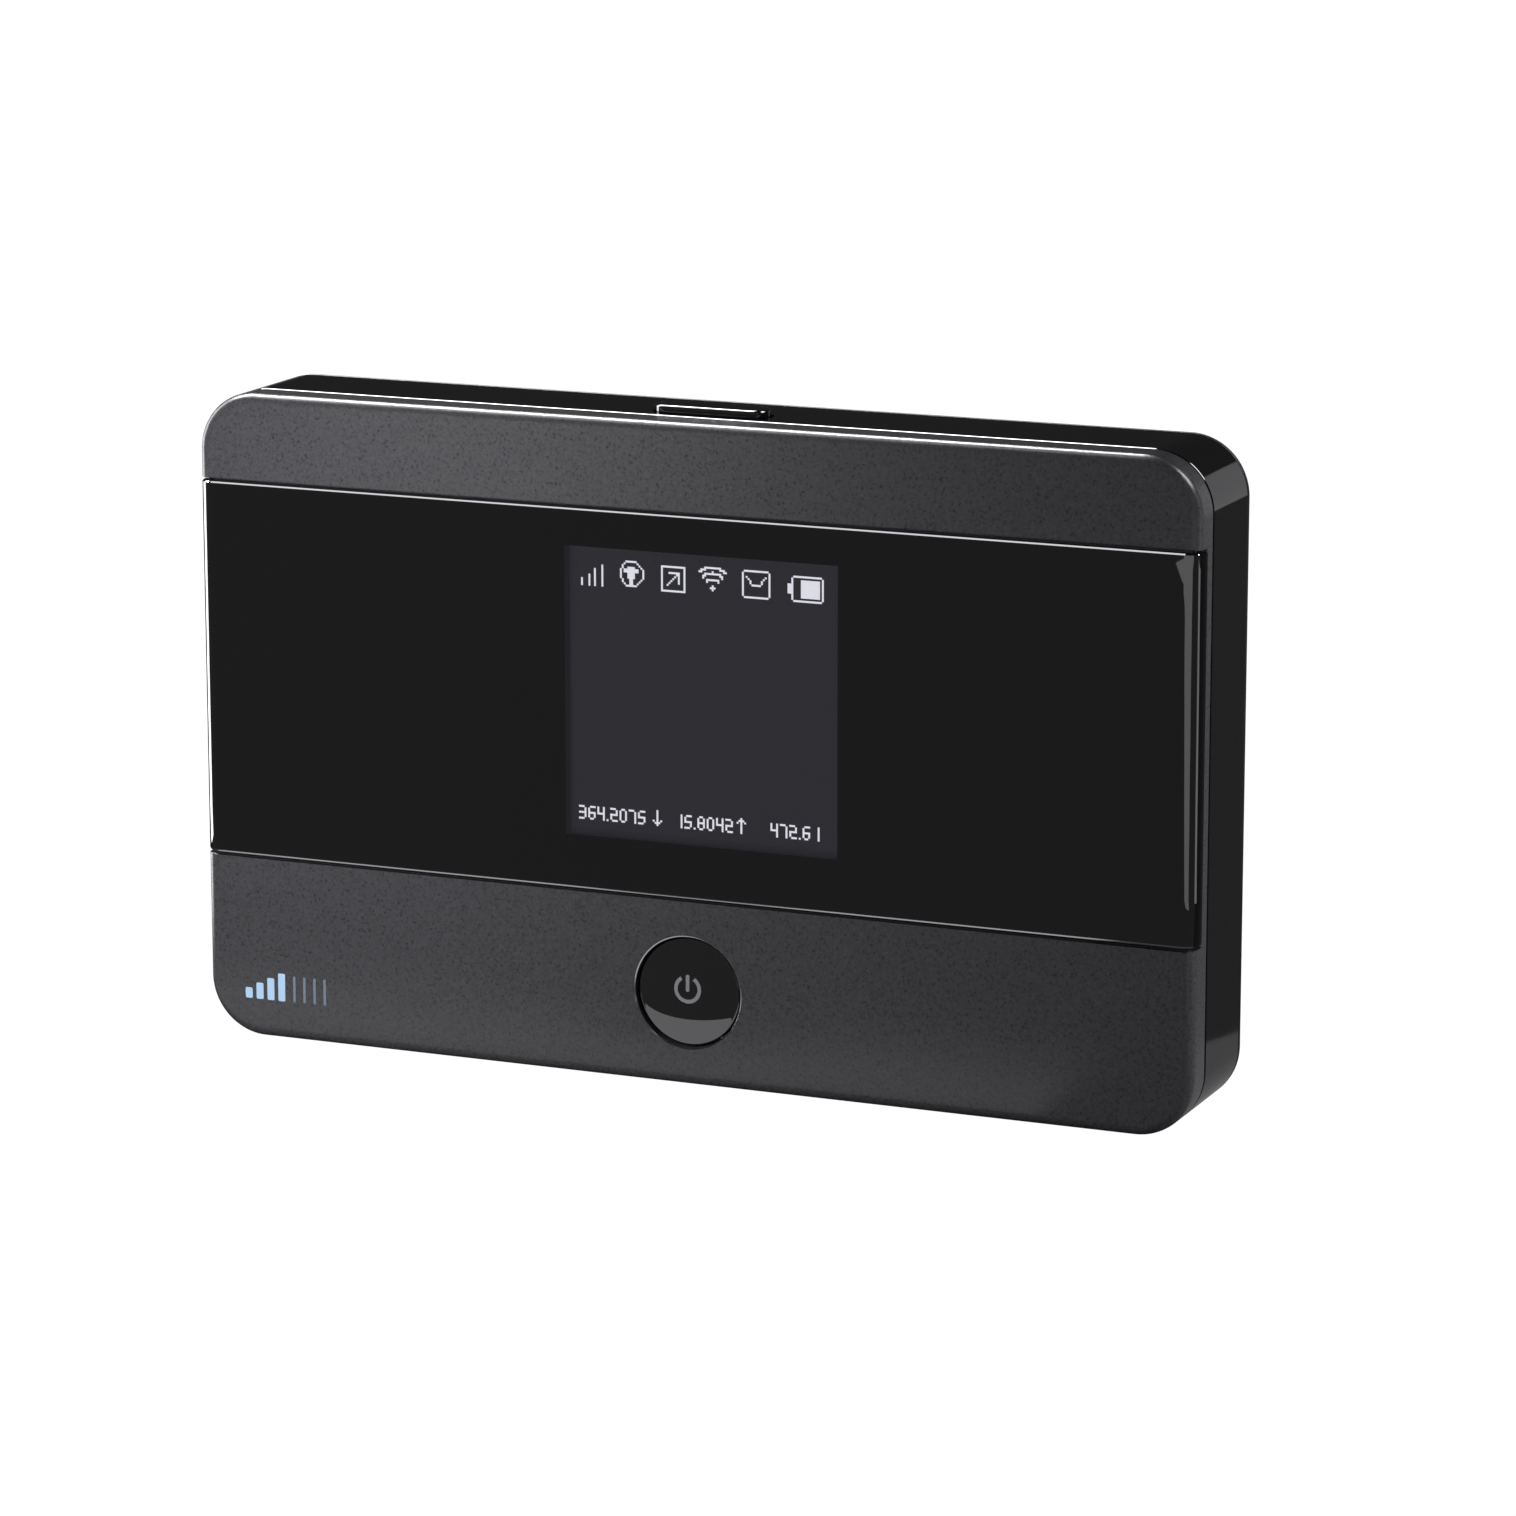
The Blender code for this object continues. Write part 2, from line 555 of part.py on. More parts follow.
def lens_mask():
    """Black printed film behind the lens, open at the display."""
    width = 2 * (PANEL_WIDTH / 2 - PANEL_RETURN_WALL - GAP)
    height = PANEL_TOP - PANEL_BOTTOM
    middle = (PANEL_TOP + PANEL_BOTTOM) / 2
    outer = rounded_rectangle(width, height, GAP, SMALL_CORNER_STEPS)
    window = rounded_rectangle(WINDOW_WIDTH, WINDOW_TOP - WINDOW_BOTTOM, GAP, SMALL_CORNER_STEPS)
    shift = (WINDOW_BOTTOM + WINDOW_TOP) / 2 - middle
    window = [(x + WINDOW_CENTRE_X, z + shift) for x, z in window]
    return finish(slab("lens_mask", [outer, window], MASK_FRONT, MASK_BACK, at=(0, middle)), "mask")


# ---------------------------------------------------------------- display
def display_glass():
    glass = block("display_glass", (GLASS_LEFT, GLASS_RIGHT), (TRAY_FRONT, TRAY_FRONT + GLASS_THICKNESS),
                  (GLASS_BOTTOM, GLASS_TOP))
    return finish(glass, "glass")


def display_backlight():
    """Moulded frame behind the glass, with a shallow recess for the diffuser sheets."""
    width = GLASS_RIGHT - GLASS_LEFT + 2 * BACKLIGHT_RIM
    height = GLASS_TOP - GLASS_BOTTOM + 2 * BACKLIGHT_RIM
    middle = (WINDOW_CENTRE_X, (GLASS_TOP + GLASS_BOTTOM) / 2)
    outline = rounded_rectangle(width, height, BACKLIGHT_RIM, SMALL_CORNER_STEPS)
    frame = slab("display_backlight", [outline], BACKLIGHT_FRONT, BACKLIGHT_BACK, at=middle)
    rim = 2 * BACKLIGHT_RIM
    cut(frame, block("backlight_recess",
                     (GLASS_LEFT - BACKLIGHT_RIM + rim, GLASS_RIGHT + BACKLIGHT_RIM - rim),
                     (BACKLIGHT_FRONT - GAP, BACKLIGHT_FRONT + BACKLIGHT_RECESS),
                     (GLASS_BOTTOM - BACKLIGHT_RIM + rim, GLASS_TOP + BACKLIGHT_RIM - rim)))
    return finish(frame, "frame")


def ribbon_levels():
    """Top of the ribbon and top of its socket, below the backlight frame."""
    ribbon_top = GLASS_BOTTOM - BACKLIGHT_RIM - GAP
    return ribbon_top, ribbon_top - RIBBON_DROP


def ribbon_socket():
    length, height, depth = RIBBON_SOCKET
    top = ribbon_levels()[1]
    socket = block("ribbon_socket",
                   (WINDOW_CENTRE_X - length / 2, WINDOW_CENTRE_X + length / 2),
                   (BOARD_FRONT - GAP - height, BOARD_FRONT - GAP), (top - depth, top))
    return finish(round_edges(socket, RIBBON_SOCKET_BEVEL, 1), "insulator")


def display_ribbon():
    """Flat cable from the display's lower edge, bent forward over its socket on the board."""
    top, socket_top = ribbon_levels()
    start_y = (BACKLIGHT_FRONT + BACKLIGHT_BACK) / 2
    end_y = BOARD_FRONT - 2 * GAP - RIBBON_SOCKET[1]
    bend = (top - socket_top) / 3
    route = [(start_y, top), (start_y, top - bend), (end_y, top - 2 * bend),
             (end_y, socket_top - RIBBON_SOCKET[2])]
    front = [(y - RIBBON_THICKNESS, z) for y, z in reversed(route)]
    ribbon = slab("display_ribbon", [route + front], WINDOW_CENTRE_X - RIBBON_WIDTH / 2,
                  WINDOW_CENTRE_X + RIBBON_WIDTH / 2, axis="X")
    return finish(ribbon, "ribbon")


# ---------------------------------------------------------------- keys and switches
def dome_profile(radius, crown, rim_level, edge):
    """Shallow dome from the axis to the edge round of a cap."""
    points = []
    for step in range(EDGE_SEGMENTS + 2):
        share = step / (EDGE_SEGMENTS + 1)
        points.append(((radius - edge) * share, rim_level + crown * (1 - share * share)))
    for step in range(1, EDGE_SEGMENTS + 1):
        angle = step / EDGE_SEGMENTS * pi / 2
        points.append((radius - edge + edge * sin(angle), rim_level - edge * (1 - cos(angle))))
    return points


def power_key():
    """Round cap with a shallow dome, a retaining flange and a pip for its switch."""
    cap_radius = POWER_HOLE_RADIUS - KEY_GAP
    flange_radius = cap_radius + POWER_FLANGE
    rim = -(SHELL_FRONT + POWER_DOME)
    flange_front = -(SHELL_INNER + KEY_GAP)
    flange_back = flange_front - POWER_FLANGE_THICKNESS
    plunger_tip = -(BOARD_FRONT - GAP - SWITCH_HEIGHT - PLUNGER_PROUD)
    profile = dome_profile(cap_radius, POWER_DOME, rim, POWER_EDGE_RADIUS)
    profile += [(cap_radius, flange_front), (flange_radius, flange_front),
                (flange_radius, flange_back), (PIP_RADIUS, flange_back),
                (PIP_RADIUS, plunger_tip + GAP), (0, plunger_tip + GAP)]
    return finish(turned("power_key", profile, (POWER_X, 0, POWER_Z), TURN["Y"],
                         2 * ROUND_SEGMENTS), "key")


def tactile_switch(name, size, height, bore, axis, at, base, side):
    """Square switch body on a board; side is the way its bore faces along the axis."""
    outline = rounded_rectangle(size, size, SWITCH_CORNER_RADIUS, 1)
    top = base + side * height
    body = slab(name, [outline], base, top, axis=axis, at=at)
    cut(body, cylinder(f"{name}_bore", bore, base + side * SWITCH_FLOOR, top + side * GAP,
                       axis=axis, at=at, segments=SMALL_ROUND_SEGMENTS))
    return finish(body, "insulator")


def power_switch():
    base = BOARD_FRONT - GAP
    tactile_switch("power_switch", SWITCH_SIZE, SWITCH_HEIGHT, PLUNGER_RADIUS + GAP, "Y",
                   (POWER_X, POWER_Z), base, -1)
    tip = base - SWITCH_HEIGHT - PLUNGER_PROUD
    inner = base - SWITCH_FLOOR - KEY_TRAVEL - GAP / 2
    return finish(cylinder("power_plunger", PLUNGER_RADIUS, tip, inner, at=(POWER_X, POWER_Z),
                           segments=SMALL_ROUND_SEGMENTS), "steel")


def menu_levels():
    """Levels of the menu key's stack along Z: flange top, flange bottom, switch top."""
    flange_top = BODY_HEIGHT - BAND_WALL - KEY_GAP
    flange_bottom = flange_top - MENU_FLANGE_THICKNESS
    switch_top = flange_bottom - 2 * GAP - PLUNGER_PROUD - KEY_TRAVEL
    return flange_top, flange_bottom, switch_top


def menu_key():
    """Raised bar in the top of the band, with a flange under the band's wall."""
    flange_top, flange_bottom, switch_top = menu_levels()
    top = BODY_HEIGHT + MENU_HEIGHT
    at = (MENU_X, MENU_Y)
    bar = rounded_rectangle(MENU_LENGTH, MENU_DEPTH, MENU_DEPTH / 2 * MENU_END_ROUND,
                            MENU_END_STEPS)
    flange = rounded_rectangle(MENU_LENGTH + 2 * MENU_FLANGE, MENU_DEPTH + 2 * MENU_FLANGE,
                               MENU_FLANGE, SMALL_CORNER_STEPS)
    key = slab("menu_key", [bar], flange_top - MENU_FLANGE_THICKNESS / 2, top, axis="Z", at=at)
    round_rim(key, (top - flange_top + MENU_FLANGE_THICKNESS / 2) / 2, MENU_EDGE_RADIUS)
    add(key, slab("menu_flange", [flange], flange_bottom, flange_top, axis="Z", at=at))
    add(key, cylinder("menu_pip", PIP_RADIUS, switch_top + PLUNGER_PROUD + GAP,
                      flange_top - GAP, axis="Z", at=at, segments=SMALL_ROUND_SEGMENTS))
    return finish(key, "key")


def menu_switch():
    """Switch that stands on the back of the board and faces up."""
    switch_top = menu_levels()[2]
    depth = 2 * (MENU_Y - BOARD_BACK - GAP)
    bottom = switch_top - SWITCH_HEIGHT - SWITCH_FLOOR
    body = block("menu_switch", (MENU_X - SWITCH_SIZE / 2, MENU_X + SWITCH_SIZE / 2),
                 (MENU_Y - depth / 2, MENU_Y + depth / 2), (bottom, switch_top))
    round_edges(body, MENU_SWITCH_BEVEL, 1)
    radius = min(PLUNGER_RADIUS, depth / 2 - 2 * GAP)
    at = (MENU_X, MENU_Y)
    cut(body, cylinder("menu_switch_bore", radius + GAP, bottom + SWITCH_FLOOR, switch_top + GAP,
                       axis="Z", at=at, segments=SMALL_ROUND_SEGMENTS))
    finish(body, "insulator")
    inner = bottom + SWITCH_FLOOR + KEY_TRAVEL + GAP / 2
    return finish(cylinder("menu_plunger", radius, inner, switch_top + PLUNGER_PROUD, axis="Z",
                           at=at, segments=SMALL_ROUND_SEGMENTS), "steel")


def reset_place():
    """Level with the SIM socket, between it and the battery connector."""
    return CARD_BAY_LEFT + RESET_X, card_socket_places()[0][2][1]


def reset_switch():
    base = BOARD_BACK + GAP
    tactile_switch("reset_switch", RESET_SIZE, RESET_HEIGHT, RESET_PLUNGER_RADIUS + GAP, "Y",
                   reset_place(), base, 1)
    inner = base + SWITCH_FLOOR + KEY_TRAVEL + GAP / 2
    tip = base + RESET_HEIGHT + GAP / 2
    return finish(cylinder("reset_plunger", RESET_PLUNGER_RADIUS, inner, tip, at=reset_place(),
                           segments=SMALL_ROUND_SEGMENTS), "steel")


# ---------------------------------------------------------------- board
def main_board():
    board = slab("main_board", [body_outline(BOARD_INSET)], BOARD_FRONT, BOARD_BACK,
                 at=(0, MIDDLE_Z))
    for number, spot in enumerate(SCREW_PLACES, 1):
        cut(board, cylinder(f"board_hole_{number}", BOSS_RADIUS + GAP, BOARD_FRONT - GAP,
                            BOARD_BACK + GAP, at=spot, segments=SMALL_ROUND_SEGMENTS))
    return finish(board, "board")


def shield_fields():
    """Name, X range and Z range of each shield: two columns beside the display."""
    rim = BACKLIGHT_RIM + SHIELD_MARGIN
    columns = (("left", -BOARD_RIGHT + SHIELD_MARGIN, GLASS_LEFT - rim),
               ("right", GLASS_RIGHT + rim, BOARD_RIGHT - SHIELD_MARGIN))
    lower_top = SHIELD_LOWER_BOTTOM + SHIELD_LOWER_HEIGHT
    upper = (lower_top + SHIELD_ROW_GAP, BOARD_TOP - SHIELD_TOP_MARGIN)
    rows = (("low", (SHIELD_LOWER_BOTTOM, lower_top)), ("high", upper))
    names = {("left", "high"): "shield_modem", ("right", "high"): "shield_radio",
             ("left", "low"): "shield_wifi", ("right", "low"): "shield_power"}
    return [(names[column, row], (left, right), z)
            for column, left, right in columns for row, z in rows]


def shields():
    """Drawn metal cans over the chips, open towards the board."""
    back = BOARD_FRONT - GAP
    for name, x, z in shield_fields():
        width, height = x[1] - x[0], z[1] - z[0]
        middle = ((x[0] + x[1]) / 2, (z[0] + z[1]) / 2)
        outer = rounded_rectangle(width, height, SHIELD_CORNER_RADIUS, SMALL_CORNER_STEPS)
        inner = rounded_rectangle(width - 2 * SHIELD_WALL, height - 2 * SHIELD_WALL,
                                  SHIELD_CORNER_RADIUS - SHIELD_WALL, SMALL_CORNER_STEPS)
        can = slab(name, [outer], back - SHIELD_HEIGHT, back, at=middle)
        cut(can, slab(f"{name}_inside", [inner], back - SHIELD_HEIGHT + SHIELD_WALL, back + GAP,
                      at=middle))
        finish(can, "shield")


def chips():
    """Packages under the shields, side by side along X at each shield's middle."""
    sizes = {"shield_modem": (("chip_baseband", CHIP_LARGE), ("chip_memory", CHIP_MEDIUM)),
             "shield_radio": (("chip_transceiver", CHIP_MEDIUM), ("chip_amplifier", CHIP_SMALL)),
             "shield_wifi": (("chip_wifi", CHIP_MEDIUM),),
             "shield_power": (("chip_power", CHIP_MEDIUM),)}
    back = BOARD_FRONT - GAP
    for name, x, z in shield_fields():
        row = sizes[name]
        room = (x[1] - x[0] - sum(size for _, size in row)) / (len(row) + 1)
        left = x[0] + room
        middle = (z[0] + z[1]) / 2
        for chip_name, size in row:
            chip = block(chip_name, (left, left + size), (back - CHIP_HEIGHT, back),
                         (middle - size / 2, middle + size / 2))
            finish(round_edges(chip, CHIP_BEVEL, 1), "chip")
            left += size + room


def usb_receptacle():
    """Drawn metal mouth, narrower towards the front of the body, around a contact tongue."""
    mouth = -BODY_WIDTH / 2 + USB_RECESS
    half_w, half_h = USB_WIDTH / 2, USB_HEIGHT / 2
    outer = [(half_h, -half_w), (half_h, half_w), (USB_CHAMFER - half_h, half_w),
             (-half_h, half_w - USB_CHAMFER), (-half_h, USB_CHAMFER - half_w),
             (USB_CHAMFER - half_h, -half_w)]
    inner_h, inner_w = half_h - USB_WALL, half_w - USB_WALL
    corner = USB_CHAMFER - USB_WALL / 2
    inner = [(inner_h, -inner_w), (inner_h, inner_w), (corner - inner_h, inner_w),
             (-inner_h, inner_w - corner), (-inner_h, corner - inner_w), (corner - inner_h, -inner_w)]
    at = (USB_Y, MIDDLE_Z)
    shell = slab("usb_shell", [outer], mouth, mouth + USB_DEPTH, axis="X", at=at)
    cut(shell, slab("usb_mouth", [inner], mouth - GAP, mouth + USB_DEPTH - USB_WALL, axis="X", at=at))
    finish(shell, "steel")
    width, thickness = USB_TONGUE
    end = mouth + USB_DEPTH - USB_WALL - GAP
    tongue = block("usb_tongue", (end - USB_TONGUE_LENGTH, end),
                   (USB_Y - thickness / 2, USB_Y + thickness / 2),
                   (MIDDLE_Z - width / 2, MIDDLE_Z + width / 2))
    base = block("usb_tongue_base", (end - USB_WALL, end), (USB_Y - inner_h + GAP, USB_Y + inner_h - GAP),
                 (MIDDLE_Z - width / 2, MIDDLE_Z + width / 2))
    return finish(add(tongue, base), "insulator")


def card_socket_places():
    """Name, size and middle in XZ of both sockets, one above the other in the card bay."""
    x = CARD_BAY_LEFT + SOCKET_X
    margin = SOCKET_MARGIN * (BAY_TOP - BAY_BOTTOM - SIM_SIZE[1] - CARD_SIZE[1])
    return [("sim_socket", SIM_SIZE, (x, BAY_TOP - margin - SIM_SIZE[1] / 2)),
            ("card_socket", CARD_SIZE, (x, BAY_BOTTOM + margin + CARD_SIZE[1] / 2))]


def card_sockets():
    """Two sockets on the back of the board, seen through the card bay's floor."""
    front = BOARD_BACK + GAP
    for name, size, at in card_socket_places():
        outline = rounded_rectangle(*size, SOCKET_CORNER_RADIUS, 2)
        cover = slab(f"{name}_cover", [outline], front, front + SOCKET_HEIGHT, at=at)
        inside = rounded_rectangle(size[0] - 2 * SOCKET_WALL, size[1], SOCKET_INNER_RADIUS, 1)
        cut(cover, slab(f"{name}_slot", [inside], front - GAP, front + SOCKET_HEIGHT - SOCKET_WALL,
                        at=(at[0], at[1] - SOCKET_WALL)))
        finish(cover, "steel")
        base_size = (size[0] - 2 * SOCKET_WALL - 2 * GAP, size[1] - 2 * SOCKET_WALL - 2 * GAP)
        base = slab(f"{name}_base", [rounded_rectangle(*base_size, SOCKET_BASE_RADIUS, 1)], front,
                    front + SOCKET_BASE, at=at)
        finish(base, "insulator")


# ---------------------------------------------------------------- band, chassis, cover
def side_band():
    """Glossy band around the body, open for the menu key and the USB receptacle."""
    at = (0, MIDDLE_Z)
    band = slab("side_band", [body_outline(0), body_outline(BAND_WALL)], BAND_FRONT, BAND_BACK, at=at)
    slot = rounded_rectangle(MENU_LENGTH + 2 * KEY_GAP, MENU_DEPTH + 2 * KEY_GAP,
                             (MENU_DEPTH / 2 + KEY_GAP) * MENU_END_ROUND, MENU_END_STEPS)
    cut(band, slab("menu_slot", [slot], BODY_HEIGHT - 2 * BAND_WALL, BODY_HEIGHT + GAP, axis="Z",
                   at=(MENU_X, MENU_Y)))
    mouth = rounded_rectangle(USB_HEIGHT + 2 * GAP, USB_WIDTH + 2 * GAP, GAP, SMALL_CORNER_STEPS)
    cut(band, slab("usb_opening", [mouth], -BODY_WIDTH, -BODY_WIDTH / 4, axis="X",
                   at=(USB_Y, MIDDLE_Z)))
    return finish(band, "band")


def bay(name, left, right):
    """Cutter of one rounded bay, from its floor to the back of the chassis."""
    outline = rounded_rectangle(right - left, BAY_TOP - BAY_BOTTOM, BAY_RADIUS, SMALL_CORNER_STEPS)
    return slab(name, [outline], FLOOR_BACK, BAND_BACK + GAP,
                at=((left + right) / 2, (BAY_TOP + BAY_BOTTOM) / 2))


def antenna_channel(side):
    """X range and Z range of a lower antenna channel, left or right."""
    x = sorted((side * ANTENNA_CHANNEL_START, side * CHANNEL_END))
    bottom = CHASSIS_INSET + ANTENNA_CHANNEL_BOTTOM
    return x, (bottom, bottom + ANTENNA_CHANNEL_HEIGHT)


def antenna_shelf(side):
    """X range and Z range of an upper antenna shelf."""
    x = sorted((side * ANTENNA_SHELF_START, side * CHANNEL_END))
    top = CHASSIS_TOP - ANTENNA_CHANNEL_BOTTOM
    return x, (top - ANTENNA_CHANNEL_HEIGHT, top)


def hook_places():
    """Middle of each snap hook's outer face in XZ, with the way that it faces."""
    side = BODY_WIDTH / 2 - HOOK_INSET
    low, high = HOOK_INSET, BODY_HEIGHT - HOOK_INSET
    places = [((sign * HOOK_ALONG_TOP, z), (0, way)) for sign in (-1, 1)
              for z, way in ((low, -1), (high, 1))]
    places += [((sign * side, MIDDLE_Z + shift), (sign, 0)) for sign in (-1, 1)
               for shift in (-HOOK_ALONG_SIDE, HOOK_ALONG_SIDE)]
    return places


def hook_box(name, spot, way, grow, y):
    """Box of a hook, or of its slot when it is grown by the gap."""
    ranges = []
    for middle, direction in zip(spot, way):
        if direction:
            far = middle - direction * HOOK_THICKNESS
            low, high = sorted((middle, far))
        else:
            low, high = middle - HOOK_WIDTH / 2, middle + HOOK_WIDTH / 2
        ranges.append((low - grow, high + grow))
    return block(name, ranges[0], y, ranges[1])


def chassis():
    """Moulded tray inside the band: board side in front, battery and card bays behind."""
    body = slab("chassis", [body_outline(CHASSIS_INSET)], CHASSIS_FRONT, BAND_BACK, at=(0, MIDDLE_Z))
    cut(body, slab("board_side", [body_outline(CHASSIS_INSET + CHASSIS_WALL)],
                   CHASSIS_FRONT - GAP, FLOOR_FRONT, at=(0, MIDDLE_Z)))
    cut(body, bay("battery_bay", BATTERY_BAY_LEFT, BAY_RIGHT))
    cut(body, bay("card_bay", CARD_BAY_LEFT, CARD_BAY_RIGHT))
    cut(body, cylinder("finger_scallop", FINGER_RADIUS, FLOOR_BACK, BAND_BACK + GAP,
                       at=(BAY_RIGHT - BAY_RIB, MIDDLE_Z)))
    for label, side in (("left", -1), ("right", 1)):
        x, z = antenna_channel(side)
        cut(body, block(f"channel_{label}", x, (FLOOR_BACK, BAND_BACK + GAP), z))
        x, z = antenna_shelf(side)
        cut(body, block(f"shelf_{label}", x, (SHELF_BACK, BAND_BACK + GAP), z))
        cut(body, block(f"shelf_core_{label}", x, (FLOOR_FRONT - GAP, SHELF_BACK - ANTENNA_SHELF), z))
    for number, (spot, way) in enumerate(hook_places(), 1):
        cut(body, hook_box(f"hook_slot_{number}", spot, way, GAP,
                           (COVER_FRONT - HOOK_REACH - GAP, BAND_BACK + GAP)))
    for number, spot in enumerate(SCREW_PLACES, 1):
        cut(body, cylinder(f"screw_well_{number}", SCREW_WELL_RADIUS, FLOOR_BACK, BAND_BACK + GAP,
                           at=spot, segments=SMALL_ROUND_SEGMENTS))
        cut(body, cylinder(f"screw_hole_{number}", SCREW_SHANK_RADIUS + GAP, FLOOR_FRONT - GAP,
                           FLOOR_BACK + GAP, at=spot, segments=SMALL_ROUND_SEGMENTS))
    cut_key_and_port_room(body)
    cut_card_bay_floor(body)
    return finish(body, "chassis")


def cut_key_and_port_room(body):
    """Room for the menu key with its switch, and for the USB receptacle."""
    reach = MENU_LENGTH / 2 + MENU_FLANGE + GAP
    depth = MENU_DEPTH / 2 + MENU_FLANGE + GAP
    bottom = menu_levels()[2] - SWITCH_HEIGHT - SWITCH_FLOOR - GAP
    cut(body, block("menu_room", (MENU_X - reach, MENU_X + reach),
                    (CHASSIS_FRONT - GAP, MENU_Y + depth), (bottom, BODY_HEIGHT)))
    mouth = -BODY_WIDTH / 2 + USB_RECESS
    cut(body, block("usb_room", (-BODY_WIDTH, mouth + USB_DEPTH + GAP),
                    (CHASSIS_FRONT - GAP, USB_Y + USB_HEIGHT / 2 + GAP),
                    (MIDDLE_Z - USB_WIDTH / 2 - GAP, MIDDLE_Z + USB_WIDTH / 2 + GAP)))


def cut_card_bay_floor(body):
    """Openings for both sockets, the reset pin and the battery connector."""
    floor = (FLOOR_FRONT - GAP, FLOOR_BACK + GAP)
    for name, size, at in card_socket_places():
        outline = rounded_rectangle(size[0] + 2 * GAP, size[1] + 2 * GAP, SOCKET_CORNER_RADIUS, 2)
        cut(body, slab(f"{name}_window", [outline], *floor, at=at))
    cut(body, cylinder("reset_pinhole", RESET_PINHOLE_RADIUS, *floor, at=reset_place(),
                       segments=SMALL_ROUND_SEGMENTS))
    x, z = connector_box()
    cut(body, block("connector_window", (x[0] - GAP, x[1] + GAP), floor, (z[0] - GAP, z[1] + GAP)))
    cut(body, block("contact_window", (CARD_BAY_RIGHT - GAP, BATTERY_BAY_LEFT + GAP),
                    (FLOOR_BACK, BAND_BACK + GAP), (z[0] - GAP, z[1] + GAP)))


def rear_cover():
    """Thin cover with a rounded rim, eight snap hooks and a fingernail notch."""
    at = (0, MIDDLE_Z)
    cover = slab("rear_cover", [body_outline(0)], COVER_FRONT, BACK, at=at)
    round_rim(cover, -COVER_RIM / 2, COVER_EDGE_RADIUS)
    cut(cover, slab("cover_hollow", [body_outline(CHASSIS_INSET)], COVER_FRONT - GAP, COVER_INNER,
                    at=at))
    for number, (spot, way) in enumerate(hook_places(), 1):
        add(cover, hook_box(f"hook_{number}", spot, way, 0,
                            (COVER_FRONT - HOOK_REACH, COVER_INNER + GAP / 2)))
        add(cover, hook_barb(f"barb_{number}", spot, way))
    nail = NAIL_NOTCH_FROM_BOTTOM
    cut(cover, block("nail_notch", (-BODY_WIDTH, -BODY_WIDTH / 2 + NAIL_NOTCH_DEPTH),
                     (COVER_FRONT - GAP, COVER_FRONT + NAIL_NOTCH_DEPTH),
                     (nail - NAIL_NOTCH_WIDTH / 2, nail + NAIL_NOTCH_WIDTH / 2)))
    return finish(cover, "cover")


def hook_barb(name, spot, way):
    """Low barb near a hook's tip, half sunk in its outer face."""
    start = COVER_FRONT - HOOK_REACH + HOOK_BARB
    ranges = []
    for middle, direction in zip(spot, way):
        reach = HOOK_BARB if direction else HOOK_WIDTH / 2 - HOOK_BARB_INSET
        ranges.append((middle - reach, middle + reach))
    return block(name, ranges[0], (start, start + HOOK_BARB_HEIGHT), ranges[1])


# ---------------------------------------------------------------- battery and contacts
def battery():
    """Flat pack: wrapped cell, moulded end with its terminals towards the card bay."""
    cap_right = BATTERY_LEFT + BATTERY_CAP_WIDTH
    cell_left = cap_right + BATTERY_CELL_GAP
    y, z = (BATTERY_FRONT, BATTERY_BACK), (BATTERY_BOTTOM, BATTERY_TOP)
    cell = block("battery_cell", (cell_left, BATTERY_RIGHT), y, z)
    finish(round_edges(cell, BATTERY_EDGE_RADIUS, 2), "battery")
    cap = block("battery_end", (BATTERY_LEFT, cap_right), y, z)
    round_edges(cap, BATTERY_CAP_BEVEL, 1)
    depth, height = TERMINAL_THICKNESS + GAP, TERMINAL_SIZE[1]
    for number, middle in enumerate(contact_places(), 1):
        half = TERMINAL_SIZE[0] / 2
        cut(cap, block(f"terminal_pocket_{number}", (BATTERY_LEFT - GAP, BATTERY_LEFT + depth),
                       (BATTERY_MIDDLE_Y - height / 2 - GAP, BATTERY_MIDDLE_Y + height / 2 + GAP),
                       (middle - half - GAP, middle + half + GAP)))
        pad = block(f"terminal_{number}", (BATTERY_LEFT, BATTERY_LEFT + TERMINAL_THICKNESS),
                    (BATTERY_MIDDLE_Y - height / 2, BATTERY_MIDDLE_Y + height / 2),
                    (middle - half, middle + half))
        finish(pad, "gold")
    return finish(cap, "battery_end")


def contact_places():
    """Z of each contact."""
    first = CONTACT_Z - CONTACT_PITCH * (CONTACT_COUNT - 1) / 2
    return [first + CONTACT_PITCH * number for number in range(CONTACT_COUNT)]


def connector_box():
    """X range and Z range of the battery connector's block."""
    places = contact_places()
    half = CONTACT_WIDTH / 2 + GAP + CONNECTOR_MARGIN
    right = CARD_BAY_RIGHT - GAP
    return (right - CONNECTOR_WIDTH, right), (places[0] - half, places[-1] + half)


def battery_connector():
    """Block on the board with three slots, each with a sprung contact."""
    x, z = connector_box()
    back = BAND_BACK - CONNECTOR_TOP_GAP
    body = block("battery_connector", x, (BOARD_BACK + GAP, back), z)
    round_edges(body, CONNECTOR_BEVEL, 1)
    for number, middle in enumerate(contact_places(), 1):
        half = CONTACT_WIDTH / 2 + GAP
        cut(body, block(f"contact_slot_{number}", (x[1] - CONTACT_SLOT_DEPTH - GAP, x[1] + GAP),
                        (BATTERY_FRONT - GAP, back - 2 * GAP), (middle - half, middle + half)))
        contact(f"battery_contact_{number}", x[1] - CONTACT_SLOT_DEPTH, back - 3 * GAP, middle)
    return finish(body, "insulator")


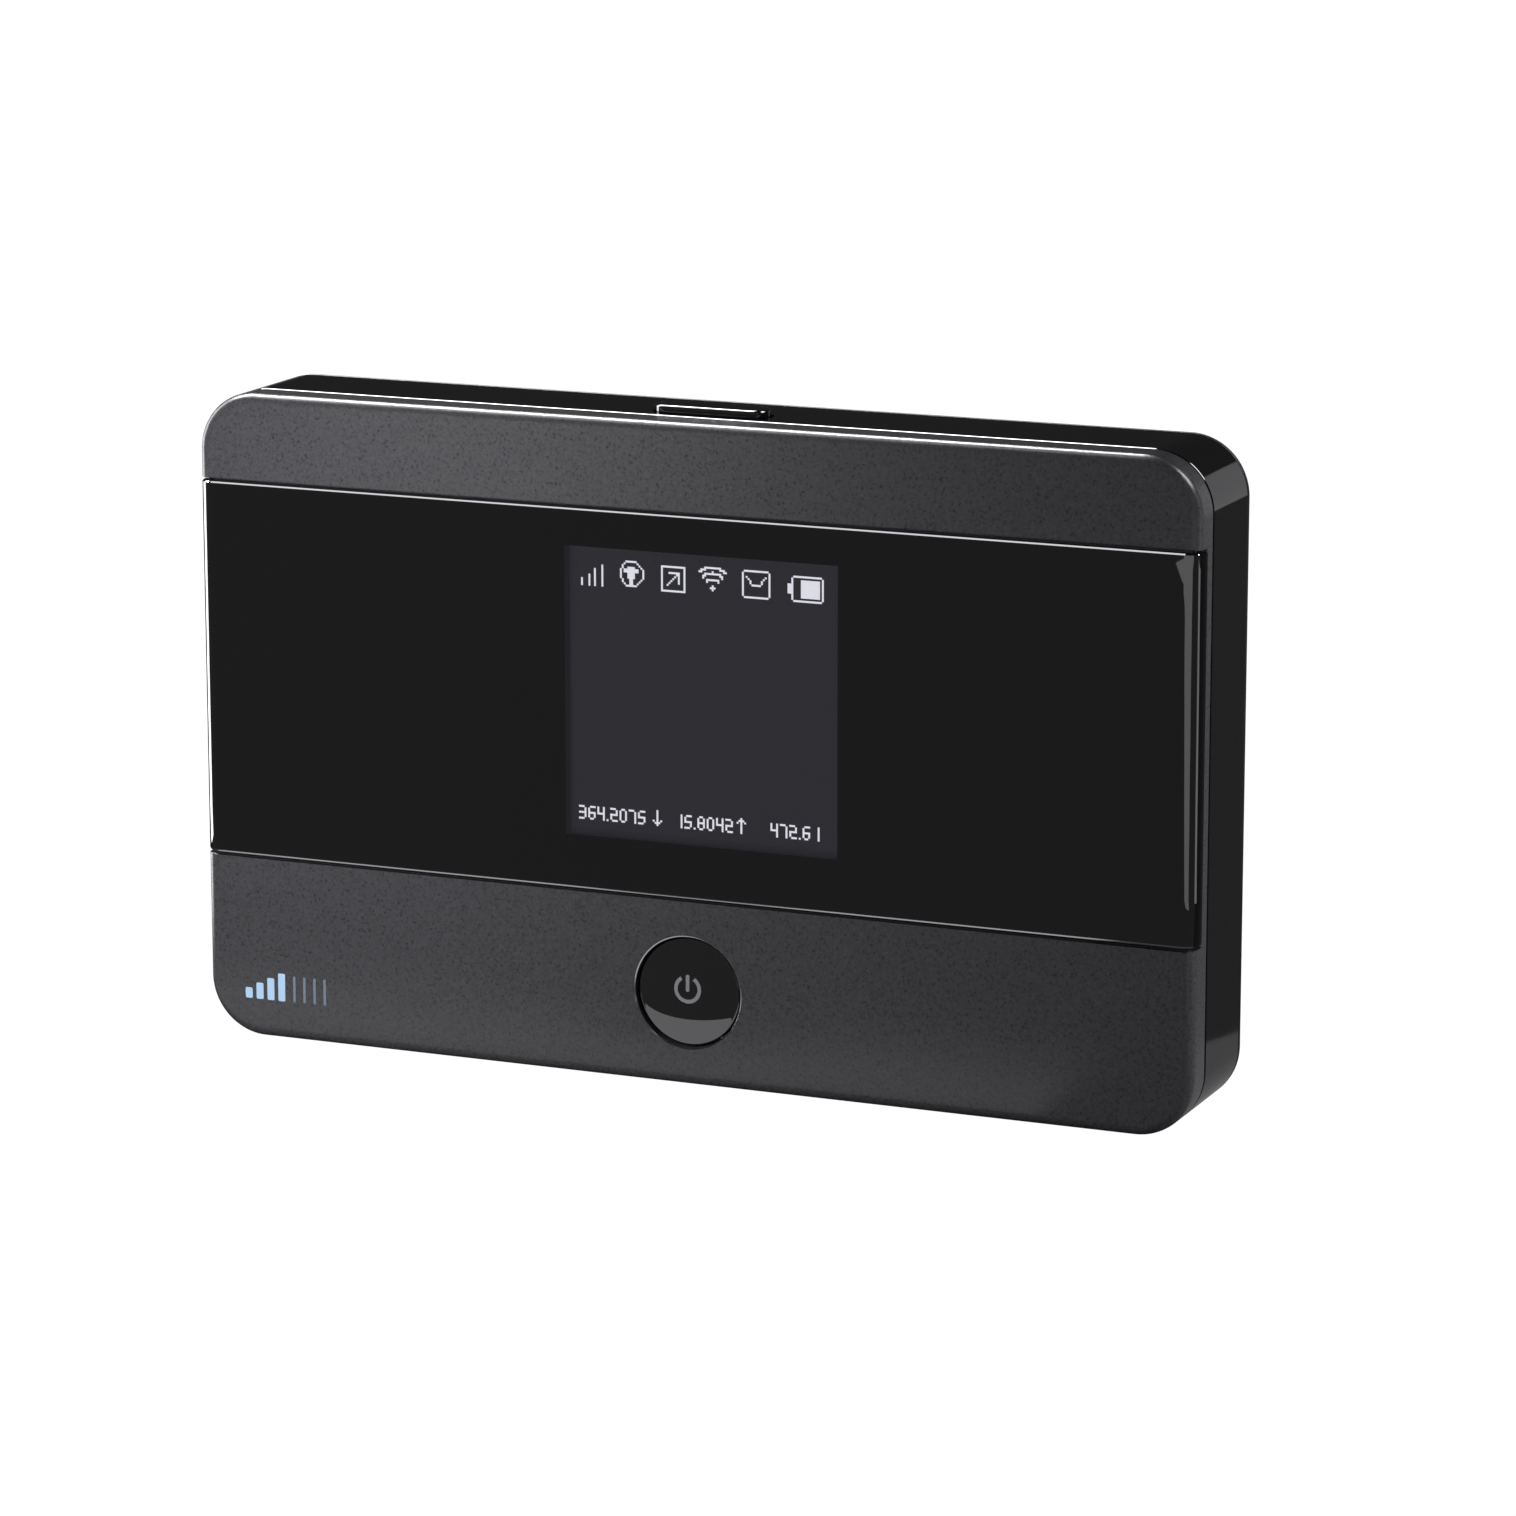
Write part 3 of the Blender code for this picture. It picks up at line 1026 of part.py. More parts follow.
def contact(name, left, top, middle):
    """Bent leaf: a foot in the connector's slot and a bow towards the battery."""
    tip = BATTERY_LEFT - GAP
    bottom = BATTERY_FRONT
    bow = (top - bottom) / 2
    centre = bottom + bow
    outer = []
    for step in range(2 * EDGE_SEGMENTS + 1):
        angle = -pi / 2 + step / (2 * EDGE_SEGMENTS) * pi
        outer.append((left + (tip - left) * cos(angle), centre + bow * sin(angle)))
    inner = []
    for step in range(2 * EDGE_SEGMENTS + 1):
        angle = pi / 2 - step / (2 * EDGE_SEGMENTS) * pi
        inner.append((left + (tip - left - CONTACT_WIRE) * cos(angle),
                      centre + (bow - CONTACT_WIRE) * sin(angle)))
    leaf = slab(name, [outer + inner], middle - CONTACT_WIDTH / 2, middle + CONTACT_WIDTH / 2,
                axis="Z")
    return finish(leaf, "gold")


# ---------------------------------------------------------------- antennas
def meander(name, x, y, z, slots):
    """Flat radiator with slots cut in turn from its two long edges."""
    plate = block(name, x, y, z)
    pitch = (x[1] - x[0]) / (slots + 1)
    bridge = (z[1] - z[0]) / 3
    for number in range(slots):
        middle = x[0] + pitch * (number + 1)
        ends = (z[0] - GAP, z[1] - bridge) if number % 2 else (z[0] + bridge, z[1] + GAP)
        cut(plate, block(f"{name}_slot_{number}", (middle - ANTENNA_SLOT / 2, middle + ANTENNA_SLOT / 2),
                         (y[0] - GAP, y[1] + GAP), ends))
    return finish(plate, "copper")


def antennas():
    """Two radiators on carriers in the lower channels and two on the upper shelves."""
    for label, side in (("diversity", -1), ("main", 1)):
        x, z = antenna_channel(side)
        x, z = (x[0] + GAP, x[1] - GAP), (z[0] + GAP, z[1] - GAP)
        top = BAND_BACK - GAP - ANTENNA_THICKNESS - GAP
        carrier = block(f"antenna_carrier_{label}", x, (FLOOR_BACK + GAP, top), z)
        cut(carrier, block(f"carrier_hollow_{label}", (x[0] + CARRIER_WALL, x[1] - CARRIER_WALL),
                           (FLOOR_BACK, top - CARRIER_WALL),
                           (z[0] + CARRIER_WALL, z[1] - CARRIER_WALL)))
        finish(carrier, "carrier")
        meander(f"antenna_{label}", x, (top + GAP, top + GAP + ANTENNA_THICKNESS), z,
                LOWER_ANTENNA_SLOTS)
    for label, side in (("a", -1), ("b", 1)):
        x, z = antenna_shelf(side)
        x, z = (x[0] + GAP, x[1] - GAP), (z[0] + GAP, z[1] - GAP)
        meander(f"antenna_wifi_{label}", x, (SHELF_BACK + GAP, SHELF_BACK + GAP + ANTENNA_THICKNESS),
                z, UPPER_ANTENNA_SLOTS)


# ---------------------------------------------------------------- screws
def screws():
    """Pan-head screws through the chassis floor into the front shell's bosses."""
    seat = -(FLOOR_BACK + GAP)
    head_top = seat - SCREW_HEAD_HEIGHT
    tip = seat + SCREW_LENGTH
    crown = SCREW_HEAD_RADIUS * SCREW_HEAD_FLAT
    profile = [(0, -head_top), (crown, -head_top),
               (SCREW_HEAD_RADIUS, -head_top - SCREW_HEAD_HEIGHT / 2),
               (SCREW_HEAD_RADIUS, -seat), (SCREW_SHANK_RADIUS, -seat),
               (SCREW_SHANK_RADIUS, -tip + SCREW_SHANK_RADIUS), (SCREW_SHANK_RADIUS / 2, -tip), (0, -tip)]
    for number, spot in enumerate(SCREW_PLACES, 1):
        screw = turned(f"screw_{number}", profile, (spot[0], 0, spot[1]), (-pi / 2, 0, 0),
                       SMALL_ROUND_SEGMENTS)
        finish(screw, "steel")


clear_scene()
PARTS = new_collection("mobile_hotspot")
CUTTERS = new_collection("cutters")
MATERIALS = make_materials()

for build in (front_shell, lens_panel, lens_mask, display_glass, display_backlight, display_ribbon,
              ribbon_socket, power_key, power_switch, menu_key, menu_switch, reset_switch,
              main_board, shields, chips, usb_receptacle, card_sockets, side_band, chassis,
              rear_cover, battery, battery_connector, antennas, screws):
    build()
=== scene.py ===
"""Looks of a pocket wireless router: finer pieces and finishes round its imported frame.

Lengths are in metres. X is the width, Y the depth and Z the height, and the front faces -Y.
"""

from math import cos, hypot, pi, radians, sin

import bmesh
import bpy
from mathutils import Euler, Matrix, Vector


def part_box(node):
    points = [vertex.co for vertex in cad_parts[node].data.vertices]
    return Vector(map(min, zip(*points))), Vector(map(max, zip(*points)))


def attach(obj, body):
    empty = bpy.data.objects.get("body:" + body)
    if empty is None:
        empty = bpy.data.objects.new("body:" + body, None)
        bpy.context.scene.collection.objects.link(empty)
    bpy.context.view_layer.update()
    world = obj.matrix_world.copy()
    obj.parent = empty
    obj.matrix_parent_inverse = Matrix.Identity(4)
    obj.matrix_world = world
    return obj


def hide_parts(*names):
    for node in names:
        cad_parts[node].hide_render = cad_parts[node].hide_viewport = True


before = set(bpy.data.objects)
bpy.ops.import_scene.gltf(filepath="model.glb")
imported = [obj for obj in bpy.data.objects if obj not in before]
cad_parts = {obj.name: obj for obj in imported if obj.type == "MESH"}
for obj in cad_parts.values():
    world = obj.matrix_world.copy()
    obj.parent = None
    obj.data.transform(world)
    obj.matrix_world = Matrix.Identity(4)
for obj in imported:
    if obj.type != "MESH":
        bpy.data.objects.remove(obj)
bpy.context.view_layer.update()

MM = 0.001

# ---------------------------------------------------------------- sizes shared with the frame
BODY_WIDTH = 106.1 * MM
BODY_HEIGHT = 66.4 * MM
BODY_RADIUS = 6.0 * MM
MIDDLE_Z = BODY_HEIGHT / 2
GAP = 0.3 * MM

SHELL_FRONT = -7.6 * MM
SHELL_BACK = -4.0 * MM
SHELL_ROUND = 1.0 * MM
SHELL_WALL = 1.3 * MM
SHELL_INNER = -6.2 * MM
TRAY_FRONT = -6.0 * MM
TRAY_BACK = -5.0 * MM
SHELL_RIB = 1.2 * MM
BOSS_END = -0.3 * MM

PANEL_FRONT = -7.8 * MM
PANEL_BACK = -6.8 * MM
PANEL_RETURN = -5.9 * MM
PANEL_HALF = 53.2 * MM
PANEL_WALL = 0.9 * MM
PANEL_ROUND = 1.6 * MM
PANEL_Z = (19.15 * MM, 57.3 * MM)

WINDOW_X = (-12.6 * MM, 16.1 * MM)
WINDOW_Z = (24.35 * MM, 53.45 * MM)
CLEAR_X = (-12.58 * MM, 16.42 * MM)       # clear part of the panel's front
CLEAR_Z = (24.56 * MM, 53.60 * MM)
BEHIND_X = (-13.4 * MM, 16.6 * MM)        # and of its back, where the dark print ends
BEHIND_Z = (23.8 * MM, 53.7 * MM)
GLASS_X = (-14.1 * MM, 17.6 * MM)
GLASS_Z = (20.85 * MM, 54.95 * MM)
GLASS_Y = (-6.0 * MM, -5.0 * MM)

BAND_FRONT = -3.7 * MM
BAND_BACK = 6.2 * MM
BAND_WALL = 1.2 * MM
COVER_FRONT = 6.5 * MM
COVER_INNER = 6.8 * MM
COVER_BACK = 7.8 * MM
COVER_ROUND = 1.2 * MM
CHASSIS_INSET = 1.6 * MM

POWER_AT = (0.4 * MM, 9.5 * MM)
POWER_HOLE = 5.68 * MM
POWER_CAP = 5.52 * MM
POWER_DOME = 0.4 * MM
MENU_AT = (0.3 * MM, -0.7 * MM)
MENU_SIZE = (12.0 * MM, 3.2 * MM)
USB_AT = (-0.5 * MM, MIDDLE_Z)

SCREW_PLACES = [(side * 46.0 * MM, z) for z in (6.3 * MM, 60.1 * MM) for side in (-1, 1)]
SCREW_PLACES += [(side * 14.0 * MM, 60.1 * MM) for side in (-1, 1)]

FIELD_INSET = 1.4 * MM          # thinned fields inside the shell
RECESS_EASE = 0.12 * MM
BOSS_RADIUS = 2.2 * MM
BORE_RADIUS = 1.1 * MM
BORE_FLOOR = 0.6 * MM

FLANGE_RADIUS = 6.35 * MM       # power key's flange
FLANGE_Y = (-5.9 * MM, -5.4 * MM)
FLANGE_THICK = 0.8 * MM         # menu key's flange
PIP_RADIUS = 1.2 * MM
END_SHARE = 0.98                # end radius of a bar, as a share of half its width

PORT_SIZE = (2.8 * MM, 7.5 * MM)
PORT_RADIUS = 0.35 * MM
HOOK_THICK = 0.8 * MM
HOOK_HALF = 3.0 * MM
HOOK_REACH = 3.1 * MM
NAIL_DEPTH = 0.6 * MM
NAIL_Z = (12.5 * MM, 21.5 * MM)
PRINT_Y = (SHELL_FRONT - 0.02 * MM, SHELL_FRONT + 0.05 * MM)

# ---------------------------------------------------------------- fineness
CORNER_STEPS = 28
EDGE_STEPS = 8
ARC_STEPS = 180
SIGN_STEPS = 64
EASE = 0.1 * MM                 # small eased edge
SMOOTH_ANGLE = 28               # degrees; sharper edges keep a crease


# ---------------------------------------------------------------- mesh helpers
def linked(name, bm):
    """Object of a mesh, at the origin."""
    mesh = bpy.data.meshes.new(name)
    bm.to_mesh(mesh)
    bm.free()
    piece = bpy.data.objects.new(name, mesh)
    bpy.context.scene.collection.objects.link(piece)
    return piece


def add_piece(name, bm):
    """Object of a closed mesh with its faces outwards."""
    bmesh.ops.remove_doubles(bm, verts=bm.verts, dist=1e-7)
    bmesh.ops.recalc_face_normals(bm, faces=bm.faces)
    return linked(name, bm)


def rounded_outline(width, height, radius, steps=CORNER_STEPS):
    """Outline of a rectangle with round corners, centred on zero."""
    points = []
    for quarter, (side_a, side_b) in enumerate(((1, 1), (-1, 1), (-1, -1), (1, -1))):
        for step in range(steps + 1):
            turn = (quarter + step / steps) * pi / 2
            points.append((side_a * (width / 2 - radius) + radius * cos(turn),
                           side_b * (height / 2 - radius) + radius * sin(turn)))
    return points


def on_axis(points, level, axis, at=(0, 0)):
    """Outline points at a level along an axis."""
    if axis == "X":
        return [Vector((level, at[0] + a, at[1] + b)) for a, b in points]
    if axis == "Y":
        return [Vector((at[0] + a, level, at[1] + b)) for a, b in points]
    return [Vector((at[0] + a, at[1] + b, level)) for a, b in points]


def body_ring(inset, level):
    """The body's outline, moved inwards, at a depth along Y."""
    outline = rounded_outline(BODY_WIDTH - 2 * inset, BODY_HEIGHT - 2 * inset, BODY_RADIUS - inset)
    return on_axis(outline, level, "Y", (0, MIDDLE_Z))


def lofted(name, rings, tube=False):
    """Closed skin over rings of points; a tube joins its last ring to its first."""
    bm = bmesh.new()
    rows = [[bm.verts.new(point) for point in ring] for ring in rings]
    pairs = list(zip(rows, rows[1:]))
    if tube:
        pairs.append((rows[-1], rows[0]))
    else:
        bm.faces.new(rows[0])
        bm.faces.new(rows[-1])
    for low, high in pairs:
        for i, corner in enumerate(low):
            j = (i + 1) % len(low)
            bm.faces.new((corner, low[j], high[j], high[i]))
    return add_piece(name, bm)


def prism(name, outline, start, end, axis="Y", at=(0, 0)):
    """Solid of an outline between two levels."""
    return lofted(name, [on_axis(outline, start, axis, at), on_axis(outline, end, axis, at)])


def box(name, x, y, z, ease=0.0):
    """Block between two X, two Y and two Z values, with eased edges if asked."""
    bm = bmesh.new()
    bmesh.ops.create_cube(bm, size=1)
    for vertex in bm.verts:
        vertex.co = Vector(((vertex.co.x + 0.5) * (x[1] - x[0]) + x[0],
                            (vertex.co.y + 0.5) * (y[1] - y[0]) + y[0],
                            (vertex.co.z + 0.5) * (z[1] - z[0]) + z[0]))
    if ease:
        bmesh.ops.bevel(bm, geom=list(bm.edges), offset=ease, segments=3, affect="EDGES", profile=0.5)
    return add_piece(name, bm)


def turned(name, profile, at, axis="Y", steps=96):
    """Turned solid round an axis; the profile runs from the axis and back to it."""
    bm = bmesh.new()
    rows = []
    for radius, level in profile:
        if radius < 1e-9:
            rows.append([bm.verts.new(on_axis([(0, 0)], level, axis, at)[0])])
            continue
        circle = [(radius * cos(2 * pi * i / steps), radius * sin(2 * pi * i / steps))
                  for i in range(steps)]
        rows.append([bm.verts.new(point) for point in on_axis(circle, level, axis, at)])
    for low, high in zip(rows, rows[1:]):
        for i in range(steps):
            j = (i + 1) % steps
            corners = [low[i % len(low)], low[j % len(low)], high[j % len(high)], high[i % len(high)]]
            unique = list(dict.fromkeys(corners))
            if len(unique) > 2:
                bm.faces.new(unique)
    return add_piece(name, bm)


def plain(piece):
    """The piece's modifiers taken into its mesh."""
    bpy.context.view_layer.update()
    evaluated = piece.evaluated_get(bpy.context.evaluated_depsgraph_get())
    mesh = bpy.data.meshes.new_from_object(evaluated)
    piece.modifiers.clear()
    piece.data = mesh
    return piece


def carved(piece, others, operation="DIFFERENCE"):
    """Boolean of a piece with helper solids, which are removed afterwards."""
    for other in others:
        boolean = piece.modifiers.new("Carve", "BOOLEAN")
        boolean.operation = operation
        boolean.solver = "EXACT"
        boolean.object = other
    plain(piece)
    for other in others:
        bpy.data.objects.remove(other)
    return piece


def joined(name, pieces):
    """One object of several closed pieces."""
    bm = bmesh.new()
    for piece in pieces:
        bm.from_mesh(piece.data)
        bpy.data.objects.remove(piece)
    return add_piece(name, bm)


def creased(piece):
    """Smooth faces, with a crease along each sharp edge."""
    bm = bmesh.new()
    bm.from_mesh(piece.data)
    for face in bm.faces:
        face.smooth = True
    for edge in bm.edges:
        flat = len(edge.link_faces) == 2 and edge.calc_face_angle(0) < radians(SMOOTH_ANGLE)
        edge.smooth = flat
    bm.to_mesh(piece.data)
    bm.free()
    return piece


def dressed(piece, body, finish, nodes=()):
    """Finish a piece: creases, material, body, and the frame nodes that it stands for."""
    creased(piece)
    piece.data.materials.clear()
    for one in (finish if isinstance(finish, (list, tuple)) else [finish]):
        piece.data.materials.append(FINISHES[one])
    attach(piece, body)
    if nodes:
        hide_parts(*nodes)
    return piece


def paint_faces(piece, index, chosen):
    """Second finish on the faces that a rule of centre and normal chooses."""
    for polygon in piece.data.polygons:
        if chosen(polygon.center, polygon.normal):
            polygon.material_index = index


# ---------------------------------------------------------------- shader groups
def new_group(name, inputs, outputs):
    """Shader node group with named sockets: (name, default) going in, names coming out."""
    tree = bpy.data.node_groups.new(name, "ShaderNodeTree")
    for label, default in inputs:
        socket = tree.interface.new_socket(label, in_out="INPUT", socket_type="NodeSocketFloat")
        socket.default_value = default
    for label in outputs:
        tree.interface.new_socket(label, in_out="OUTPUT", socket_type="NodeSocketFloat")
    return tree, tree.nodes.new("NodeGroupInput"), tree.nodes.new("NodeGroupOutput")


def math_node(tree, operation, *values):
    """Math node whose inputs are numbers or other nodes' outputs."""
    node = tree.nodes.new("ShaderNodeMath")
    node.operation = operation
    for socket, value in zip(node.inputs, values):
        if isinstance(value, (int, float)):
            socket.default_value = value
        else:
            tree.links.new(value, socket)
    return node.outputs[0]


def scaled_place(tree, size, stretch=(1, 1, 1)):
    """Object coordinates divided by a size, optionally stretched along an axis."""
    place = tree.nodes.new("ShaderNodeTexCoord").outputs["Object"]
    mapping = tree.nodes.new("ShaderNodeMapping")
    mapping.inputs["Scale"].default_value = stretch
    tree.links.new(place, mapping.inputs["Vector"])
    shrink = tree.nodes.new("ShaderNodeVectorMath")
    shrink.operation = "SCALE"
    tree.links.new(mapping.outputs[0], shrink.inputs[0])
    tree.links.new(math_node(tree, "DIVIDE", 1.0, size), shrink.inputs["Scale"])
    return shrink.outputs[0]


def noise(tree, vector, detail=2.0, roughness=0.5):
    """Noise value between 0 and 1 at a place."""
    node = tree.nodes.new("ShaderNodeTexNoise")
    node.inputs["Scale"].default_value = 1.0
    node.inputs["Detail"].default_value = detail
    node.inputs["Roughness"].default_value = roughness
    tree.links.new(vector, node.inputs["Vector"])
    return node.outputs["Fac"]


def make_grain_group():
    """Fine moulded or sprayed grain: a tone round 1 and a height from 0 to 1."""
    tree, ins, outs = new_group("fine_grain", [("Size", 0.0002), ("Contrast", 0.2), ("Patches", 0.05)],
                                ["Tone", "Height"])
    fine = noise(tree, scaled_place(tree, ins.outputs["Size"]), 3.0, 0.6)
    broad = noise(tree, scaled_place(tree, math_node(tree, "MULTIPLY", ins.outputs["Size"], 60.0)), 2.0)
    speckle = math_node(tree, "MULTIPLY", math_node(tree, "SUBTRACT", fine, 0.5), ins.outputs["Contrast"])
    patch = math_node(tree, "MULTIPLY", math_node(tree, "SUBTRACT", broad, 0.5), ins.outputs["Patches"])
    tree.links.new(math_node(tree, "ADD", math_node(tree, "ADD", speckle, patch), 1.0),
                   outs.inputs["Tone"])
    tree.links.new(fine, outs.inputs["Height"])
    return tree


def make_handling_group():
    """Traces of handling: faint smears of touch and sparse dust, each from 0 to 1."""
    tree, ins, outs = new_group("handling", [("Size", 0.012), ("Amount", 0.5)], ["Smear", "Dust"])
    broad = noise(tree, scaled_place(tree, ins.outputs["Size"], (1.0, 1.0, 2.2)), 4.0, 0.55)
    smear = tree.nodes.new("ShaderNodeMapRange")
    smear.inputs["From Min"].default_value = 0.45
    smear.inputs["From Max"].default_value = 0.75
    tree.links.new(broad, smear.inputs["Value"])
    tree.links.new(math_node(tree, "MULTIPLY", smear.outputs[0], ins.outputs["Amount"]),
                   outs.inputs["Smear"])
    cells = tree.nodes.new("ShaderNodeTexVoronoi")
    cells.inputs["Scale"].default_value = 1.0
    tree.links.new(scaled_place(tree, 0.0011), cells.inputs["Vector"])
    speck = math_node(tree, "LESS_THAN", cells.outputs["Distance"], 0.045)
    tree.links.new(math_node(tree, "MULTIPLY", speck, ins.outputs["Amount"]), outs.inputs["Dust"])
    return tree


def make_brushed_group():
    """Fine drawn lines along one axis of a metal sheet."""
    tree, ins, outs = new_group("drawn_lines", [("Size", 0.0001)], ["Line"])
    place = scaled_place(tree, ins.outputs["Size"], (0.02, 1.0, 1.0))
    tree.links.new(noise(tree, place, 3.0, 0.6), outs.inputs["Line"])
    return tree


GROUPS = {"grain": make_grain_group(), "handling": make_handling_group(), "lines": make_brushed_group()}


def group_node(tree, name, **values):
    """One of the shared groups, placed in a material with its own values."""
    node = tree.nodes.new("ShaderNodeGroup")
    node.node_tree = GROUPS[name]
    for label, value in values.items():
        node.inputs[label].default_value = value
    return node


# ---------------------------------------------------------------- finishes
def base_finish(name, colour, roughness, metallic=0.0, **sockets):
    """Principled material; further sockets are named with underscores for spaces."""
    made = bpy.data.materials.new(name)
    made.use_nodes = True
    shader = made.node_tree.nodes["Principled BSDF"]
    shader.inputs["Base Color"].default_value = (*colour, 1.0)
    shader.inputs["Roughness"].default_value = roughness
    shader.inputs["Metallic"].default_value = metallic
    for label, value in sockets.items():
        shader.inputs[label.replace("_", " ")].default_value = value
    made.diffuse_color = (*colour, 1.0)
    return made, made.node_tree, shader


def toned(tree, shader, colour, tone):
    """Base colour multiplied by a tone that changes over the surface."""
    mix = tree.nodes.new("ShaderNodeVectorMath")
    mix.operation = "SCALE"
    mix.inputs[0].default_value = colour
    tree.links.new(tone, mix.inputs["Scale"])
    tree.links.new(mix.outputs[0], shader.inputs["Base Color"])


def bumped(tree, shader, height, distance):
    """Relief of a given depth, in metres, from a height between 0 and 1."""
    bump = tree.nodes.new("ShaderNodeBump")
    bump.inputs["Distance"].default_value = distance
    bump.inputs["Strength"].default_value = 1.0
    tree.links.new(height, bump.inputs["Height"])
    tree.links.new(bump.outputs[0], shader.inputs["Normal"])


def grained(name, colour, roughness, size, contrast, depth, patches=0.05, **sockets):
    """Moulded plastic or paint with a fine grain in colour, gloss and relief."""
    made, tree, shader = base_finish(name, colour, roughness, **sockets)
    grain = group_node(tree, "grain", Size=size, Contrast=contrast, Patches=patches)
    toned(tree, shader, colour, grain.outputs["Tone"])
    rough = math_node(tree, "MULTIPLY_ADD", grain.outputs["Height"], 0.12, roughness - 0.06)
    tree.links.new(rough, shader.inputs["Roughness"])
    bumped(tree, shader, grain.outputs["Height"], depth)
    return made


def glossy(name, colour, roughness, smear=0.5, dust=0.4, **sockets):
    """Polished plastic with faint smears and a few specks of dust."""
    made, tree, shader = base_finish(name, colour, roughness, **sockets)
    touch = group_node(tree, "handling", Amount=smear)
    rough = math_node(tree, "MULTIPLY_ADD", touch.outputs["Smear"], 0.10, roughness)
    tree.links.new(rough, shader.inputs["Roughness"])
    specks = group_node(tree, "handling", Amount=dust)
    tone = math_node(tree, "MULTIPLY_ADD", specks.outputs["Dust"], 6.0, 1.0)
    toned(tree, shader, colour, tone)
    return made


def metal(name, colour, roughness, size=0.00012, depth=0.0000006):
    """Sheet metal with fine drawn lines."""
    made, tree, shader = base_finish(name, colour, roughness, 1.0)
    lines = group_node(tree, "lines", Size=size)
    tone = math_node(tree, "MULTIPLY_ADD", lines.outputs["Line"], 0.24, 0.88)
    toned(tree, shader, colour, tone)
    rough = math_node(tree, "MULTIPLY_ADD", lines.outputs["Line"], 0.16, roughness - 0.08)
    tree.links.new(rough, shader.inputs["Roughness"])
    bumped(tree, shader, lines.outputs["Line"], depth)
    return made


def glowing(name, colour, roughness, strength):
    """Surface that gives out its own colour as light: the lit display, and the glows of painted shade at the
    display's edge and on the mask.
    """
    made, _, shader = base_finish(name, (0.004, 0.004, 0.005), roughness)
    shader.inputs["Specular IOR Level"].default_value = 0.0
    shader.inputs["Emission Color"].default_value = (*colour, 1.0)
    shader.inputs["Emission Strength"].default_value = strength
    return made


def make_finishes():
    """Every finish of the object, by the name that the pieces use."""
    made = {
        "shell": grained("charcoal_satin", (0.050, 0.049, 0.054), 0.29, 0.00030, 1.5, 0.000008,
                         patches=0.12, Specular_IOR_Level=0.3),
        "lens": glossy("lens_black", (0.0012, 0.0012, 0.0012), 0.008, 0.06, 0.12, Specular_IOR_Level=1.0),
        "trim": metal("bright_edge", (0.30, 0.30, 0.31), 0.16),
        "band": glossy("band_black", (0.0060, 0.0060, 0.0066), 0.06, 0.5, 0.15),
        "cover": grained("cover_black", (0.012, 0.012, 0.013), 0.38, 0.00030, 0.25, 0.000010),
        "key": glossy("key_black", (0.0030, 0.0030, 0.0034), 0.02, 0.2, 0.1,
                      Specular_IOR_Level=1.1),
        "print_grey": grained("print_grey", (0.21, 0.21, 0.225), 0.45, 0.0002, 0.05, 0.000001),
        "print_blue": grained("print_pale_blue", (0.42, 0.60, 0.82), 0.45, 0.0002, 0.05, 0.000001),
        "print_slate": grained("print_slate", (0.15, 0.19, 0.24), 0.45, 0.0002, 0.05, 0.000001),
        "lit": glowing("display_lit", (0.0208, 0.0198, 0.0248), 0.2, 1.0),
        # Painted shade: the display's edge glows darker than its field, standing for the shade that the
        # window's edge casts on it.
        "border": glowing("display_edge_shade_glow", (0.0165, 0.0155, 0.0205), 0.3, 1.0),
        "pixel": glowing("display_pixel", (0.80, 0.80, 0.86), 0.3, 1.05),
        # The lens mask is black print, but it glows dim grey like the display's edge: painted shade, given
        # out as light.
        "mask": glowing("mask_print", (0.0140, 0.0132, 0.0170), 0.6, 1.0),
        "frame": grained("display_frame", (0.62, 0.62, 0.64), 0.45, 0.0003, 0.06, 0.000004),
        "ribbon": grained("ribbon_amber", (0.40, 0.16, 0.02), 0.32, 0.0004, 0.15, 0.000003),
        "board": grained("board_green", (0.010, 0.085, 0.040), 0.35, 0.0006, 0.35, 0.000008),
        "shield": metal("shield_tin", (0.60, 0.60, 0.58), 0.32),
        "chip": grained("chip_black", (0.020, 0.020, 0.022), 0.50, 0.00012, 0.3, 0.000004),
        "steel": metal("steel", (0.56, 0.56, 0.57), 0.30),
        "gold": metal("gold_plate", (0.90, 0.62, 0.24), 0.24),
        "insulator": grained("insulator_black", (0.016, 0.016, 0.017), 0.42, 0.0002, 0.2, 0.000005),
        "chassis": grained("chassis_black", (0.014, 0.014, 0.015), 0.42, 0.00026, 0.25, 0.000008),
        "battery": grained("battery_wrap", (0.115, 0.115, 0.122), 0.34, 0.0009, 0.12, 0.000006),
        "battery_end": grained("battery_end", (0.018, 0.018, 0.019), 0.45, 0.0002, 0.2, 0.000006),
        "carrier": grained("antenna_carrier", (0.66, 0.65, 0.60), 0.48, 0.0003, 0.06, 0.000006),
        "copper": metal("antenna_copper", (0.80, 0.46, 0.27), 0.30),
    }
    clear, _, shader = base_finish("lens_clear", (0.93, 0.93, 0.95), 0.0)
    shader.inputs["Transmission Weight"].default_value = 1.0
    shader.inputs["IOR"].default_value = 1.49
    made["clear"] = clear
    return made


FINISHES = make_finishes()

